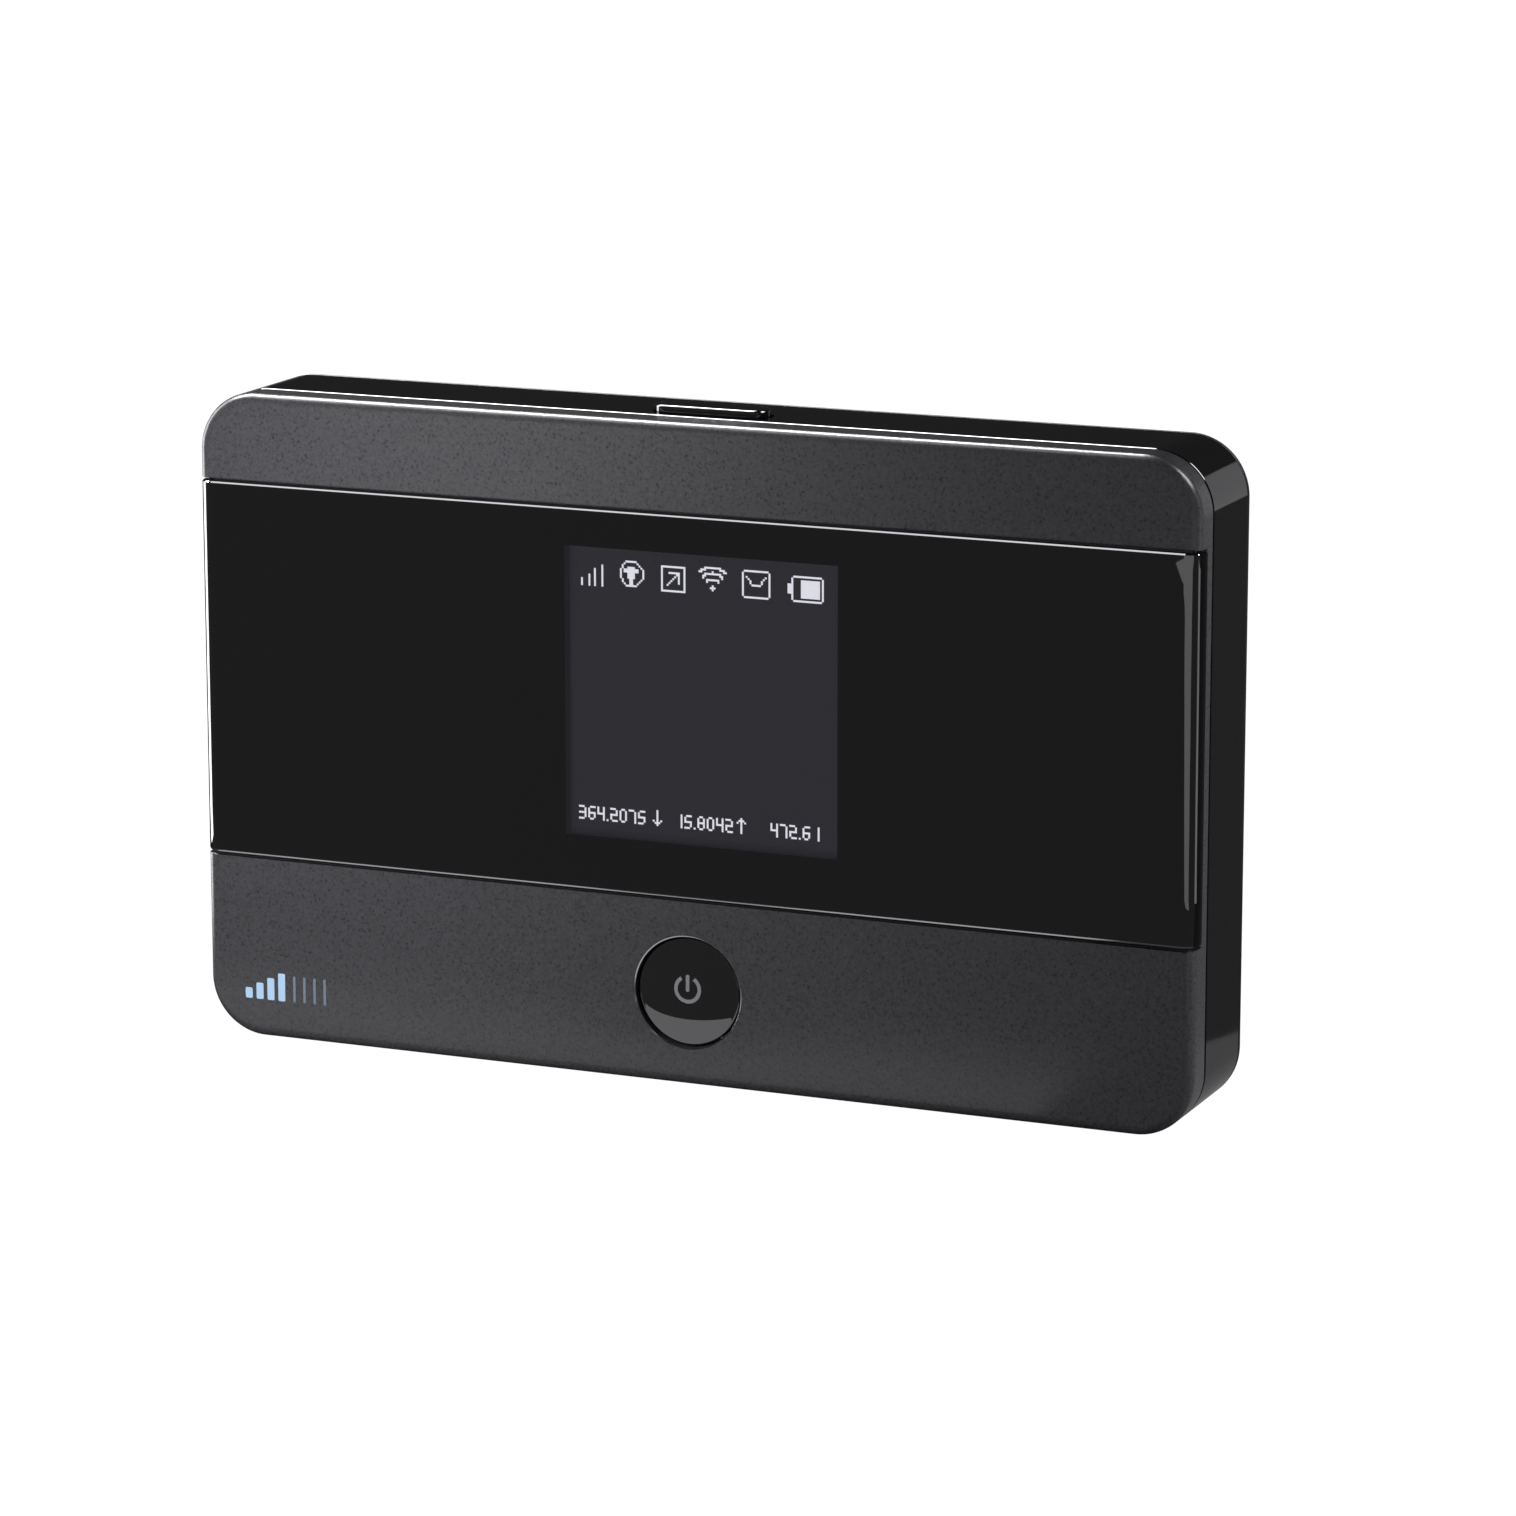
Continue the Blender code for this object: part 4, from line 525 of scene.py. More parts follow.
NODE_FINISHES = {
    "mask": ["lens_mask"], "frame": ["display_backlight"], "ribbon": ["display_ribbon"],
    "board": ["main_board"], "chassis": ["chassis"],
    "battery": ["battery_cell"], "battery_end": ["battery_end"],
    "shield": [f"shield_{part}" for part in ("modem", "power", "radio", "wifi")],
    "chip": [f"chip_{part}" for part in ("amplifier", "baseband", "memory", "power", "transceiver", "wifi")],
    "steel": ["power_plunger", "menu_plunger", "reset_plunger", "card_socket_cover", "sim_socket_cover",
              "usb_shell"] + [f"screw_{number}" for number in range(1, 7)],
    "gold": [f"{row}_{number}" for row in ("battery_contact", "terminal") for number in (1, 2, 3)],
    "insulator": ["ribbon_socket", "power_switch", "menu_switch", "reset_switch", "usb_tongue",
                  "card_socket_base", "sim_socket_base", "battery_connector"],
    "carrier": ["antenna_carrier_diversity", "antenna_carrier_main"],
    "copper": [f"antenna_{part}" for part in ("diversity", "main", "wifi_a", "wifi_b")],
}
for finish_name, node_names in NODE_FINISHES.items():
    for node_name in node_names:
        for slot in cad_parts[node_name].material_slots:
            slot.material = FINISHES[finish_name]


# ---------------------------------------------------------------- front shell
def edge_round(radius, front, way):
    """Insets and levels of a rounded rim, from the side to the flat; way points inwards."""
    pairs = []
    for step in range(EDGE_STEPS + 1):
        turn = step / EDGE_STEPS * pi / 2
        pairs.append((radius * (1 - cos(turn)), front + way * radius * (1 - sin(turn))))
    return pairs


def flared_slot(name, z, front, floor, ease):
    """Cutter across the whole width, with eased edges where it meets the front."""
    low, high = z
    out = 2 * ease
    section = [(floor, low), (front + ease, low), (front - ease, low - out), (front - ease, high + out),
               (front + ease, high), (floor, high)]
    return prism(name, section, -BODY_WIDTH, BODY_WIDTH, "X")


def front_shell():
    """Moulded front with a recess for the lens panel, a key hole and screw bosses."""
    pairs = [(EASE, SHELL_BACK), (0, SHELL_BACK - EASE)] + edge_round(SHELL_ROUND, SHELL_FRONT, 1)
    pairs.append((SHELL_ROUND + EASE, SHELL_FRONT))
    shell = lofted("shell_front", [body_ring(inset, level) for inset, level in pairs])
    cuts = [lofted("shell_cavity", [body_ring(SHELL_WALL, TRAY_BACK), body_ring(SHELL_WALL, 0)])]
    for name, bottom, top in (("field_low", -MM, PANEL_Z[0] - GAP - SHELL_RIB),
                              ("field_high", PANEL_Z[1] + GAP + SHELL_RIB, BODY_HEIGHT + MM)):
        field = lofted(name, [body_ring(FIELD_INSET, SHELL_INNER), body_ring(FIELD_INSET, TRAY_BACK + GAP)])
        within = box("range", (-BODY_WIDTH, BODY_WIDTH), (-BODY_WIDTH, BODY_WIDTH), (bottom, top))
        cuts.append(carved(field, [within], "INTERSECT"))
    recess = (PANEL_Z[0] - GAP, PANEL_Z[1] + GAP)
    cuts.append(flared_slot("recess", recess, SHELL_FRONT, TRAY_FRONT, RECESS_EASE))
    inner = PANEL_HALF - PANEL_WALL - GAP
    edge = BODY_WIDTH / 2
    step = [(inner, PANEL_FRONT - GAP), (inner, PANEL_RETURN + GAP), (edge - EASE, PANEL_RETURN + GAP),
            (edge + EASE, PANEL_RETURN + GAP + 2 * EASE), (edge + EASE, PANEL_FRONT - GAP)]
    for side in (-1, 1):
        cuts.append(prism("return_recess", [(side * x, y) for x, y in step], *recess, "Z"))
    cuts.append(box("window", (GLASS_X[0] - GAP, GLASS_X[1] + GAP), (PANEL_FRONT, TRAY_BACK + GAP),
                    (GLASS_Z[0] - GAP, GLASS_Z[1] + GAP)))
    rim, deep = 0.11 * MM, 0.065 * MM
    flare = POWER_HOLE + rim * (1 + (SHELL_FRONT - PANEL_FRONT) / deep)
    hole = [(0, PANEL_FRONT), (flare, PANEL_FRONT), (POWER_HOLE, SHELL_FRONT + deep),
            (POWER_HOLE, TRAY_BACK), (0, TRAY_BACK)]
    cuts.append(turned("power_hole", hole, POWER_AT, steps=128))
    carved(shell, cuts)
    boss = [(0, SHELL_INNER - GAP), (BOSS_RADIUS, SHELL_INNER - GAP), (BOSS_RADIUS, BOSS_END), (0, BOSS_END)]
    bore = [(0, SHELL_INNER + BORE_FLOOR), (BORE_RADIUS, SHELL_INNER + BORE_FLOOR),
            (BORE_RADIUS, BOSS_END + GAP), (0, BOSS_END + GAP)]
    carved(shell, [turned("boss", boss, spot, steps=32) for spot in SCREW_PLACES], "UNION")
    carved(shell, [turned("bore", bore, spot, steps=32) for spot in SCREW_PLACES])
    dressed(shell, "housing", ["shell", "band", "trim"], ["front_shell"])
    paint_faces(shell, 1, lambda at, way: abs(at.z - recess[0]) < 0.3 * MM and way.z > 0.5 and way.y < -0.5)
    paint_faces(shell, 2, lambda at, way: -0.97 < way.y < -0.3
                and hypot(at.x - POWER_AT[0], at.z - POWER_AT[1]) < POWER_HOLE + 2 * rim)
    return shell


# ---------------------------------------------------------------- lens panel and display
def panel_section(inset):
    """Section of the lens panel in XY, with its surfaces moved inwards."""
    half, front, radius = PANEL_HALF - inset, PANEL_FRONT + inset, PANEL_ROUND - inset
    back = PANEL_RETURN - inset
    right = [(half, back)]
    for step in range(2 * EDGE_STEPS + 1):
        turn = step / (2 * EDGE_STEPS) * pi / 2
        right.append((half - radius * (1 - cos(turn)), front + radius * (1 - sin(turn))))
    right.append((half - radius - EASE, front))
    wall = PANEL_HALF - PANEL_WALL + inset
    inner = [(-wall, back), (-wall, PANEL_BACK - inset), (wall, PANEL_BACK - inset), (wall, back)]
    return right + [(-x, y) for x, y in reversed(right)] + inner


def lens_panel():
    """Clear panel, black behind except over the display, wrapped back over both sides."""
    ease, low_ease, low_rise = 0.13 * MM, 0.08 * MM, 0.17 * MM
    levels = [(low_ease, PANEL_Z[0]), (0, PANEL_Z[0] + low_rise),
              (0, PANEL_Z[1] - ease), (ease, PANEL_Z[1])]
    rings = [on_axis(panel_section(inset), level, "Z") for inset, level in levels]
    panel = lofted("panel_lens", rings)
    bm = bmesh.new()
    bm.from_mesh(panel.data)
    for x in CLEAR_X + BEHIND_X:
        bmesh.ops.bisect_plane(bm, geom=bm.verts[:] + bm.edges[:] + bm.faces[:], plane_co=(x, 0, 0),
                               plane_no=(1, 0, 0))
    for z in CLEAR_Z + BEHIND_Z:
        bmesh.ops.bisect_plane(bm, geom=bm.verts[:] + bm.edges[:] + bm.faces[:], plane_co=(0, 0, z),
                               plane_no=(0, 0, 1))
    bm.to_mesh(panel.data)
    bm.free()
    dressed(panel, "housing", ["lens", "clear", "trim"], ["lens_panel"])
    paint_faces(panel, 2, lambda at, way: -0.6 < way.z < -0.2 and way.y < -0.6)
    for x, z, way_out in ((CLEAR_X, CLEAR_Z, -1), (BEHIND_X, BEHIND_Z, 1)):
        paint_faces(panel, 1, lambda at, way: way.y * way_out > 0.9
                    and x[0] < at.x < x[1] and z[0] < at.z < z[1])
    return panel


def display_module():
    """Display glass glowing darker round a lit field: the darker edge is painted shade of the window's edge.
    """
    glass = box("display_module", GLASS_X, GLASS_Y, GLASS_Z, 0.08 * MM)
    dressed(glass, "housing", "border", ["display_glass"])
    lit = box("display_field", FIELD_X, (GLASS_Y[0] - 0.04 * MM, GLASS_Y[0] + 0.1 * MM), FIELD_Z, 0.01 * MM)
    return dressed(lit, "housing", "lit")


PITCH = 0.2 * MM
# The lit field stops short of the window on the left and at the bottom, so the darker glow of painted shade
# shows there.
FIELD_X = (WINDOW_X[0] + 0.18 * MM, WINDOW_X[1] + 0.5 * MM)
FIELD_Z = (WINDOW_Z[0] + 0.60 * MM, WINDOW_Z[1] + 0.5 * MM)


def line_cells(start, end):
    """Cells of a straight stroke between two cells."""
    steps = max(abs(end[0] - start[0]), abs(end[1] - start[1]), 1)
    return {(round(start[0] + (end[0] - start[0]) * i / steps),
             round(start[1] + (end[1] - start[1]) * i / steps)) for i in range(int(steps) + 1)}


def path_cells(*corners):
    """Cells of a stroke through several corners."""
    cells = set()
    for start, end in zip(corners, corners[1:]):
        cells |= line_cells(start, end)
    return cells


def arc_cells(centre, radius, start, end):
    """Cells of an arc between two angles, in degrees."""
    cells = set()
    for i in range(ARC_STEPS + 1):
        turn = radians(start + (end - start) * i / ARC_STEPS)
        cells.add((round(centre[0] + radius * cos(turn)), round(centre[1] + radius * sin(turn))))
    return cells


def block_cells(left, bottom, right, top):
    """Cells of a filled block."""
    return {(c, r) for c in range(left, right + 1) for r in range(bottom, top + 1)}


STROKES = {"top": ((0, 6), (3, 6)), "middle": ((0, 3), (3, 3)), "bottom": ((0, 0), (3, 0)),
           "upper_left": ((0, 3), (0, 6)), "lower_left": ((0, 0), (0, 3)),
           "upper_right": ((3, 3), (3, 6)), "lower_right": ((3, 0), (3, 3))}
UNLIT = {"0": ["middle"], "1": ["top", "middle", "bottom", "upper_left", "lower_left"],
         "2": ["upper_left", "lower_right"], "3": ["upper_left", "lower_left"],
         "4": ["top", "bottom", "lower_left"], "5": ["upper_right", "lower_left"],
         "6": ["upper_right"], "7": ["middle", "bottom", "upper_left", "lower_left"],
         "8": [], "9": ["lower_left"]}
CORNERS = {(0, 6): ("top", "upper_left"), (3, 6): ("top", "upper_right"),
           (0, 0): ("bottom", "lower_left"), (3, 0): ("bottom", "lower_right")}


def digit_cells(digit):
    """A digit of seven strokes, four cells by seven, with its outer corners cut."""
    lit = [stroke for stroke in STROKES if stroke not in UNLIT[digit]]
    cells = set()
    for stroke in lit:
        cells |= line_cells(*STROKES[stroke])
    return cells - {corner for corner, pair in CORNERS.items() if pair[0] in lit and pair[1] in lit}


def number_cells(text, left, bottom):
    """Digits and points of a readout, five cells apart."""
    cells = set()
    for letter in text:
        if letter == ".":
            cells.add((left, bottom))
            left += 2
            continue
        cells |= {(left + column, bottom + row) for column, row in digit_cells(letter)}
        left += 5
    return cells


def frame_cells(left, bottom, right, top):
    """Cells of a frame whose four corner cells are left out."""
    cells = {(column, row) for column in range(left + 1, right) for row in (bottom, top)}
    return cells | {(column, row) for row in range(bottom + 1, top) for column in (left, right)}


def display_cells():
    """Lit cells: a row of plain signs at the top and a row of plain numbers below."""
    cells = set()
    for column, height in ((6, 4), (10, 6), (13, 9), (17, 11)):
        cells |= block_cells(column, 125, column, 124 + height)
    cells |= path_cells((30, 126), (35, 126), (39, 130), (39, 134), (35, 138), (30, 138), (27, 134),
                        (27, 130), (30, 126))
    cells |= block_cells(31, 130, 34, 135) | block_cells(29, 133, 36, 134) | block_cells(32, 127, 33, 129)
    cells |= path_cells((49, 125), (61, 125), (61, 137), (49, 137), (49, 125))
    cells |= path_cells((52, 128), (57, 133)) | path_cells((53, 134), (58, 134), (58, 129))
    for radius in (4.5, 7.5, 10.5):
        cells |= arc_cells((76, 128), radius, 47, 133)
    cells |= path_cells((75, 128), (77, 128)) | path_cells((76, 127), (76, 129))
    cells |= frame_cells(92, 125, 106, 138) | path_cells((94, 135), (97, 131), (101, 131), (104, 135))
    cells |= frame_cells(118, 125, 134, 137)
    cells |= block_cells(116, 129, 117, 133) | block_cells(123, 127, 132, 135)
    cells |= number_cells("364.2075", 4, 7) | number_cells("15.8042", 56, 7) | number_cells("472.61", 107, 7)
    for column, way in ((46, -1), (91, 1)):
        tip = 10.5 + 3.5 * way
        cells |= path_cells((column, 7), (column, 14))
        cells |= path_cells((column - 2, tip - 2 * way), (column, tip), (column + 2, tip - 2 * way))
    return cells


def tile_tree():
    """Geometry nodes: a small flat tile on every point of a mesh."""
    tree = bpy.data.node_groups.new("pixel_tiles", "GeometryNodeTree")
    tree.interface.new_socket("Points", in_out="INPUT", socket_type="NodeSocketGeometry")
    sizes = {}
    for label, default in (("Tile Width", 0.2 * MM), ("Tile Thickness", 0.01 * MM)):
        socket = tree.interface.new_socket(label, in_out="INPUT", socket_type="NodeSocketFloat")
        socket.default_value = default
        sizes[label] = socket.identifier
    socket = tree.interface.new_socket("Finish", in_out="INPUT", socket_type="NodeSocketMaterial")
    sizes["Finish"] = socket.identifier
    tree.interface.new_socket("Tiles", in_out="OUTPUT", socket_type="NodeSocketGeometry")
    ins, outs = tree.nodes.new("NodeGroupInput"), tree.nodes.new("NodeGroupOutput")
    size = tree.nodes.new("ShaderNodeCombineXYZ")
    tree.links.new(ins.outputs["Tile Width"], size.inputs["X"])
    tree.links.new(ins.outputs["Tile Thickness"], size.inputs["Y"])
    tree.links.new(ins.outputs["Tile Width"], size.inputs["Z"])
    tile = tree.nodes.new("GeometryNodeMeshCube")
    tree.links.new(size.outputs[0], tile.inputs["Size"])
    spread = tree.nodes.new("GeometryNodeInstanceOnPoints")
    tree.links.new(ins.outputs["Points"], spread.inputs["Points"])
    tree.links.new(tile.outputs["Mesh"], spread.inputs["Instance"])
    real = tree.nodes.new("GeometryNodeRealizeInstances")
    tree.links.new(spread.outputs[0], real.inputs[0])
    finish = tree.nodes.new("GeometryNodeSetMaterial")
    tree.links.new(real.outputs[0], finish.inputs["Geometry"])
    tree.links.new(ins.outputs["Finish"], finish.inputs["Material"])
    tree.links.new(finish.outputs[0], outs.inputs[0])
    return tree, sizes


def display_pixels():
    """Lit pixels of the readout, one tile for each cell."""
    bm = bmesh.new()
    for column, row in sorted(display_cells()):
        bm.verts.new((WINDOW_X[0] + (column + 0.5) * PITCH, GLASS_Y[0] - 0.045 * MM,
                      WINDOW_Z[0] + (row + 1.0) * PITCH))
    pixels = linked("display_pixels", bm)
    tree, sizes = tile_tree()
    modifier = pixels.modifiers.new("Tiles", "NODES")
    modifier.node_group = tree
    modifier[sizes["Tile Width"]] = PITCH * 0.97
    modifier[sizes["Tile Thickness"]] = 0.01 * MM
    modifier[sizes["Finish"]] = FINISHES["pixel"]
    plain(pixels)
    return dressed(pixels, "housing", "pixel")


# ---------------------------------------------------------------- keys
def power_key():
    """Round cap with a shallow dome, flange and pip, and its printed sign."""
    edge = 0.3 * MM
    rim = SHELL_FRONT + POWER_DOME
    profile = []
    for step in range(25):
        share = step / 24
        profile.append(((POWER_CAP - edge) * share, rim - POWER_DOME * (1 - share * share)))
    for step in range(1, EDGE_STEPS + 1):
        turn = step / EDGE_STEPS * pi / 2
        profile.append((POWER_CAP - edge + edge * sin(turn), rim + edge * (1 - cos(turn))))
    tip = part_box("power_key")[1][1]
    profile += [(POWER_CAP, FLANGE_Y[0]), (FLANGE_RADIUS, FLANGE_Y[0]), (FLANGE_RADIUS, FLANGE_Y[1]),
                (PIP_RADIUS, FLANGE_Y[1]), (PIP_RADIUS, tip), (0, tip)]
    key = turned("key_power", profile, POWER_AT, steps=128)
    dressed(key, "power_key_body", "key", ["power_key"])
    reach, half = 1.26 * MM, 0.19 * MM
    opening = radians(32)
    ring = []
    for sign, radius in ((1, reach + half), (-1, reach - half)):
        angles = [pi / 2 + sign * (opening + (2 * pi - 2 * opening) * i / SIGN_STEPS)
                  for i in range(SIGN_STEPS + 1)]
        ring += [(radius * cos(a), radius * sin(a)) for a in angles]
    bar = rounded_outline(2 * half, 1.75 * MM, half * END_SHARE, 8)
    bar = [(a, b + 0.62 * MM) for a, b in bar]
    marks = [on_dome("sign_ring", ring), on_dome("sign_bar", bar)]
    return dressed(joined("key_power_sign", marks), "power_key_body", "print_grey")


def on_dome(name, outline):
    """Thin print that follows the dome of the power key."""
    at = (POWER_AT[0], POWER_AT[1] + 0.36 * MM)
    flat = prism(name, outline, 0, 0.02 * MM, "Y", at)
    bm = bmesh.new()
    bm.from_mesh(flat.data)
    bmesh.ops.triangulate(bm, faces=bm.faces)
    bmesh.ops.subdivide_edges(bm, edges=bm.edges, cuts=2, use_grid_fill=True)
    for vertex in bm.verts:
        share = hypot(vertex.co.x - POWER_AT[0], vertex.co.z - POWER_AT[1]) / (POWER_CAP - 0.3 * MM)
        surface = SHELL_FRONT + POWER_DOME - POWER_DOME * (1 - share * share)
        vertex.co.y += surface - 0.008 * MM
    bm.to_mesh(flat.data)
    bm.free()
    return flat


def menu_key():
    """Raised bar in the top of the band, with a flange and pip below."""
    low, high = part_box("menu_key")
    length, depth = MENU_SIZE
    outline = rounded_outline(length, depth, depth / 2 * END_SHARE, 24)
    edge = 0.28 * MM
    flange_top = BODY_HEIGHT - BAND_WALL - GAP
    flange_bottom = flange_top - FLANGE_THICK
    rings = [on_axis(outline, flange_bottom + 0.4 * MM, "Z", MENU_AT)]
    for step in range(EDGE_STEPS + 1):
        turn = step / EDGE_STEPS * pi / 2
        inset = edge * (1 - cos(turn))
        ring = rounded_outline(length - 2 * inset, depth - 2 * inset, depth / 2 * END_SHARE - inset, 24)
        rings.append(on_axis(ring, high[2] - edge * (1 - sin(turn)), "Z", MENU_AT))
    inner = rounded_outline(length - 2 * edge - 2 * EASE, depth - 2 * edge - 2 * EASE,
                            depth / 2 * END_SHARE - edge - EASE, 24)
    rings.append(on_axis(inner, high[2], "Z", MENU_AT))
    key = lofted("key_menu", rings)
    flange = rounded_outline(length + 1.6 * MM, depth + 1.6 * MM, 0.8 * MM, 8)
    pip = turned("pip", [(0, low[2]), (PIP_RADIUS, low[2]), (PIP_RADIUS, flange_top - GAP),
                         (0, flange_top - GAP)], MENU_AT, "Z", 48)
    carved(key, [prism("flange", flange, flange_bottom, flange_top, "Z", MENU_AT), pip], "UNION")
    return dressed(key, "menu_key_body", "key", ["menu_key"])


# ---------------------------------------------------------------- band and cover
def side_band():
    """Polished band round the body, with eased edges and two openings."""
    trim, drop = 0.07 * MM, 0.04 * MM
    outer = [(drop, BAND_FRONT), (0, BAND_FRONT + trim), (0, BAND_BACK - drop), (drop, BAND_BACK)]
    inner = [(BAND_WALL, BAND_BACK), (BAND_WALL, BAND_FRONT)]
    rings = [body_ring(inset, level) for inset, level in outer + inner]
    band = lofted("band_side", rings, tube=True)
    length, depth = MENU_SIZE
    slot = rounded_outline(length + 2 * GAP, depth + 2 * GAP, (depth / 2 + GAP) * END_SHARE, 24)
    mouth = rounded_outline(PORT_SIZE[0] + 2 * GAP, PORT_SIZE[1] + 2 * GAP, PORT_RADIUS, 6)
    carved(band, [prism("menu_slot", slot, BODY_HEIGHT - 2 * BAND_WALL, BODY_HEIGHT + GAP, "Z", MENU_AT),
                  prism("port", mouth, -BODY_WIDTH, -BODY_WIDTH / 4, "X", USB_AT)])
    return dressed(band, "housing", "band", ["side_band"])


def hook_ranges(spot, way):
    """Ranges in X and Z of a hook at a spot on the rim, thin along its way out."""
    ranges = []
    for middle, direction in zip(spot, way):
        if direction:
            low, high = sorted((middle, middle - direction * HOOK_THICK))
        else:
            low, high = middle - HOOK_HALF, middle + HOOK_HALF
        ranges.append((low, high))
    return ranges


def rear_cover():
    """Flat cover with a rounded rim, clip hooks inside and a fingernail notch."""
    pairs = [(EASE, COVER_FRONT), (0, COVER_FRONT + EASE)]
    pairs += [(inset, level) for inset, level in edge_round(COVER_ROUND, COVER_BACK, -1)]
    pairs.append((COVER_ROUND + EASE, COVER_BACK))
    cover = lofted("cover_rear", [body_ring(inset, level) for inset, level in pairs])
    hollow = lofted("hollow", [body_ring(CHASSIS_INSET, COVER_FRONT - GAP),
                               body_ring(CHASSIS_INSET, COVER_INNER)])
    nail = box("nail_notch", (-BODY_WIDTH, -BODY_WIDTH / 2 + NAIL_DEPTH),
               (COVER_FRONT - GAP, COVER_FRONT + NAIL_DEPTH), NAIL_Z)
    carved(cover, [hollow, nail])
    inset = CHASSIS_INSET + 0.9 * MM + GAP
    side = BODY_WIDTH / 2 - inset
    places = [((sign * 30.0 * MM, z), (0, way)) for sign in (-1, 1)
              for z, way in ((inset, -1), (BODY_HEIGHT - inset, 1))]
    places += [((sign * side, MIDDLE_Z + shift), (sign, 0)) for sign in (-1, 1)
               for shift in (-13.0 * MM, 13.0 * MM)]
    hooks = []
    for spot, way in places:
        x, z = hook_ranges(spot, way)
        hooks.append(box("hook", x, (COVER_FRONT - HOOK_REACH, COVER_INNER + GAP / 2), z, 0.08 * MM))
    carved(cover, hooks, "UNION")
    return dressed(cover, "cover", "cover", ["rear_cover"])


# ---------------------------------------------------------------- printed sign
def corner_sign():
    """Plain printed sign on the lower left: four bold bars that rise and four thin lines."""
    bars = []
    left, bottom = -48.9 * MM, 4.0 * MM
    for i in range(4):
        low = left + i * 1.25 * MM
        height = (1.1 + 0.6 * i) * MM
        outline = rounded_outline(0.8 * MM, height, 0.15 * MM, 4)
        bars.append(prism("bar", outline, *PRINT_Y, "Y", (low + 0.4 * MM, bottom + height / 2)))
    dressed(joined("sign_bars", bars), "housing", "print_blue")
    lines = []
    for i in range(4):
        outline = rounded_outline(0.28 * MM, 2.7 * MM, 0.1 * MM, 3)
        centre = (left + (5.6 + 1.15 * i) * MM, bottom + 1.4 * MM)
        lines.append(prism("line", outline, *PRINT_Y, "Y", centre))
    return dressed(joined("sign_lines", lines), "housing", "print_slate")


front_shell()
lens_panel()
display_module()
display_pixels()
power_key()
menu_key()
side_band()
rear_cover()
corner_sign()


# ---------------------------------------------------------------- studio
def gloss_only(holder):
    """Let a card show in gloss and through the clear panel, and nowhere else."""
    holder.visible_camera = False
    holder.visible_diffuse = False
    holder.visible_shadow = False


def glow_material(name, level):
    """Plain emission of a grey level."""
    made = bpy.data.materials.new(name)
    made.use_nodes = True
    made.node_tree.nodes.clear()
    glow = made.node_tree.nodes.new("ShaderNodeEmission")
    glow.inputs["Color"].default_value = (0.97, 0.97, 1.0, 1.0)
    glow.inputs["Strength"].default_value = level
    out = made.node_tree.nodes.new("ShaderNodeOutputMaterial")
    made.node_tree.links.new(glow.outputs[0], out.inputs["Surface"])
    return made


def stage_card(name, corners, level):
    """Flat card of a grey level between corner points, seen only in gloss."""
    bm = bmesh.new()
    bm.faces.new([bm.verts.new(corner) for corner in corners])
    card = linked(name, bm)
    card.data.materials.append(glow_material(name, level))
    gloss_only(card)
    return card


def floor_card(name, outline, height, level):
    """Card lying just above the floor."""
    return stage_card(name, [(x, y, height) for x, y in outline], level)


def upright_card(name, start, end, top, level):
    """Card standing on the floor between two points."""
    return stage_card(name, [(*start, 0.0), (*end, 0.0), (*end, top), (*start, top)], level)


def far_card(name, start, turns, rises, distance, level):
    """Upright card far from a point, between two azimuths (from +Y to +X) and two elevations."""
    corners = []
    for turn, rise in ((turns[0], rises[0]), (turns[1], rises[0]),
                       (turns[1], rises[1]), (turns[0], rises[1])):
        a, e = radians(turn), radians(rise)
        corners.append((start[0] + distance * sin(a) * cos(e), start[1] + distance * cos(a) * cos(e),
                        start[2] + distance * sin(e)))
    return stage_card(name, corners, level)


def seen_rays(tree):
    """1 for the camera's rays and those in gloss and glass, 0 for the light that falls on things."""
    path = tree.nodes.new("ShaderNodeLightPath")
    seen = math_node(tree, "MAXIMUM", path.outputs["Is Camera Ray"], path.outputs["Is Glossy Ray"])
    return math_node(tree, "MAXIMUM", seen, path.outputs["Is Transmission Ray"])


def studio_floor():
    """Wide pale floor under the object, near white where it is seen."""
    bm = bmesh.new()
    bmesh.ops.create_circle(bm, cap_ends=True, segments=64, radius=6.0)
    floor = linked("studio_floor", bm)
    made, tree, shader = base_finish("studio_floor", (0.30, 0.30, 0.30), 0.9)
    shader.inputs["Specular IOR Level"].default_value = 0.0
    glow = tree.nodes.new("ShaderNodeEmission")
    glow.inputs["Color"].default_value = (1.0, 1.0, 1.0, 1.0)
    glow.inputs["Strength"].default_value = 1.16
    mix = tree.nodes.new("ShaderNodeMixShader")
    tree.links.new(math_node(tree, "MULTIPLY", seen_rays(tree), 0.88), mix.inputs["Fac"])
    tree.links.new(shader.outputs[0], mix.inputs[1])
    tree.links.new(glow.outputs[0], mix.inputs[2])
    tree.links.new(mix.outputs[0], tree.nodes["Material Output"].inputs["Surface"])
    floor.data.materials.append(made)


def studio_world():
    """Even pale room light; the camera, gloss and glass see it white."""
    world = bpy.data.worlds.new("studio")
    bpy.context.scene.world = world
    world.use_nodes = True
    tree = world.node_tree
    dim = tree.nodes["Background"]
    dim.inputs["Color"].default_value = (0.97, 0.98, 1.0, 1.0)
    dim.inputs["Strength"].default_value = 0.10
    white = tree.nodes.new("ShaderNodeBackground")
    white.inputs["Color"].default_value = (1.0, 1.0, 1.0, 1.0)
    white.inputs["Strength"].default_value = 1.0
    mix = tree.nodes.new("ShaderNodeMixShader")
    tree.links.new(seen_rays(tree), mix.inputs["Fac"])
    tree.links.new(dim.outputs[0], mix.inputs[1])
    tree.links.new(white.outputs[0], mix.inputs[2])
    tree.links.new(mix.outputs[0], tree.nodes["World Output"].inputs["Surface"])


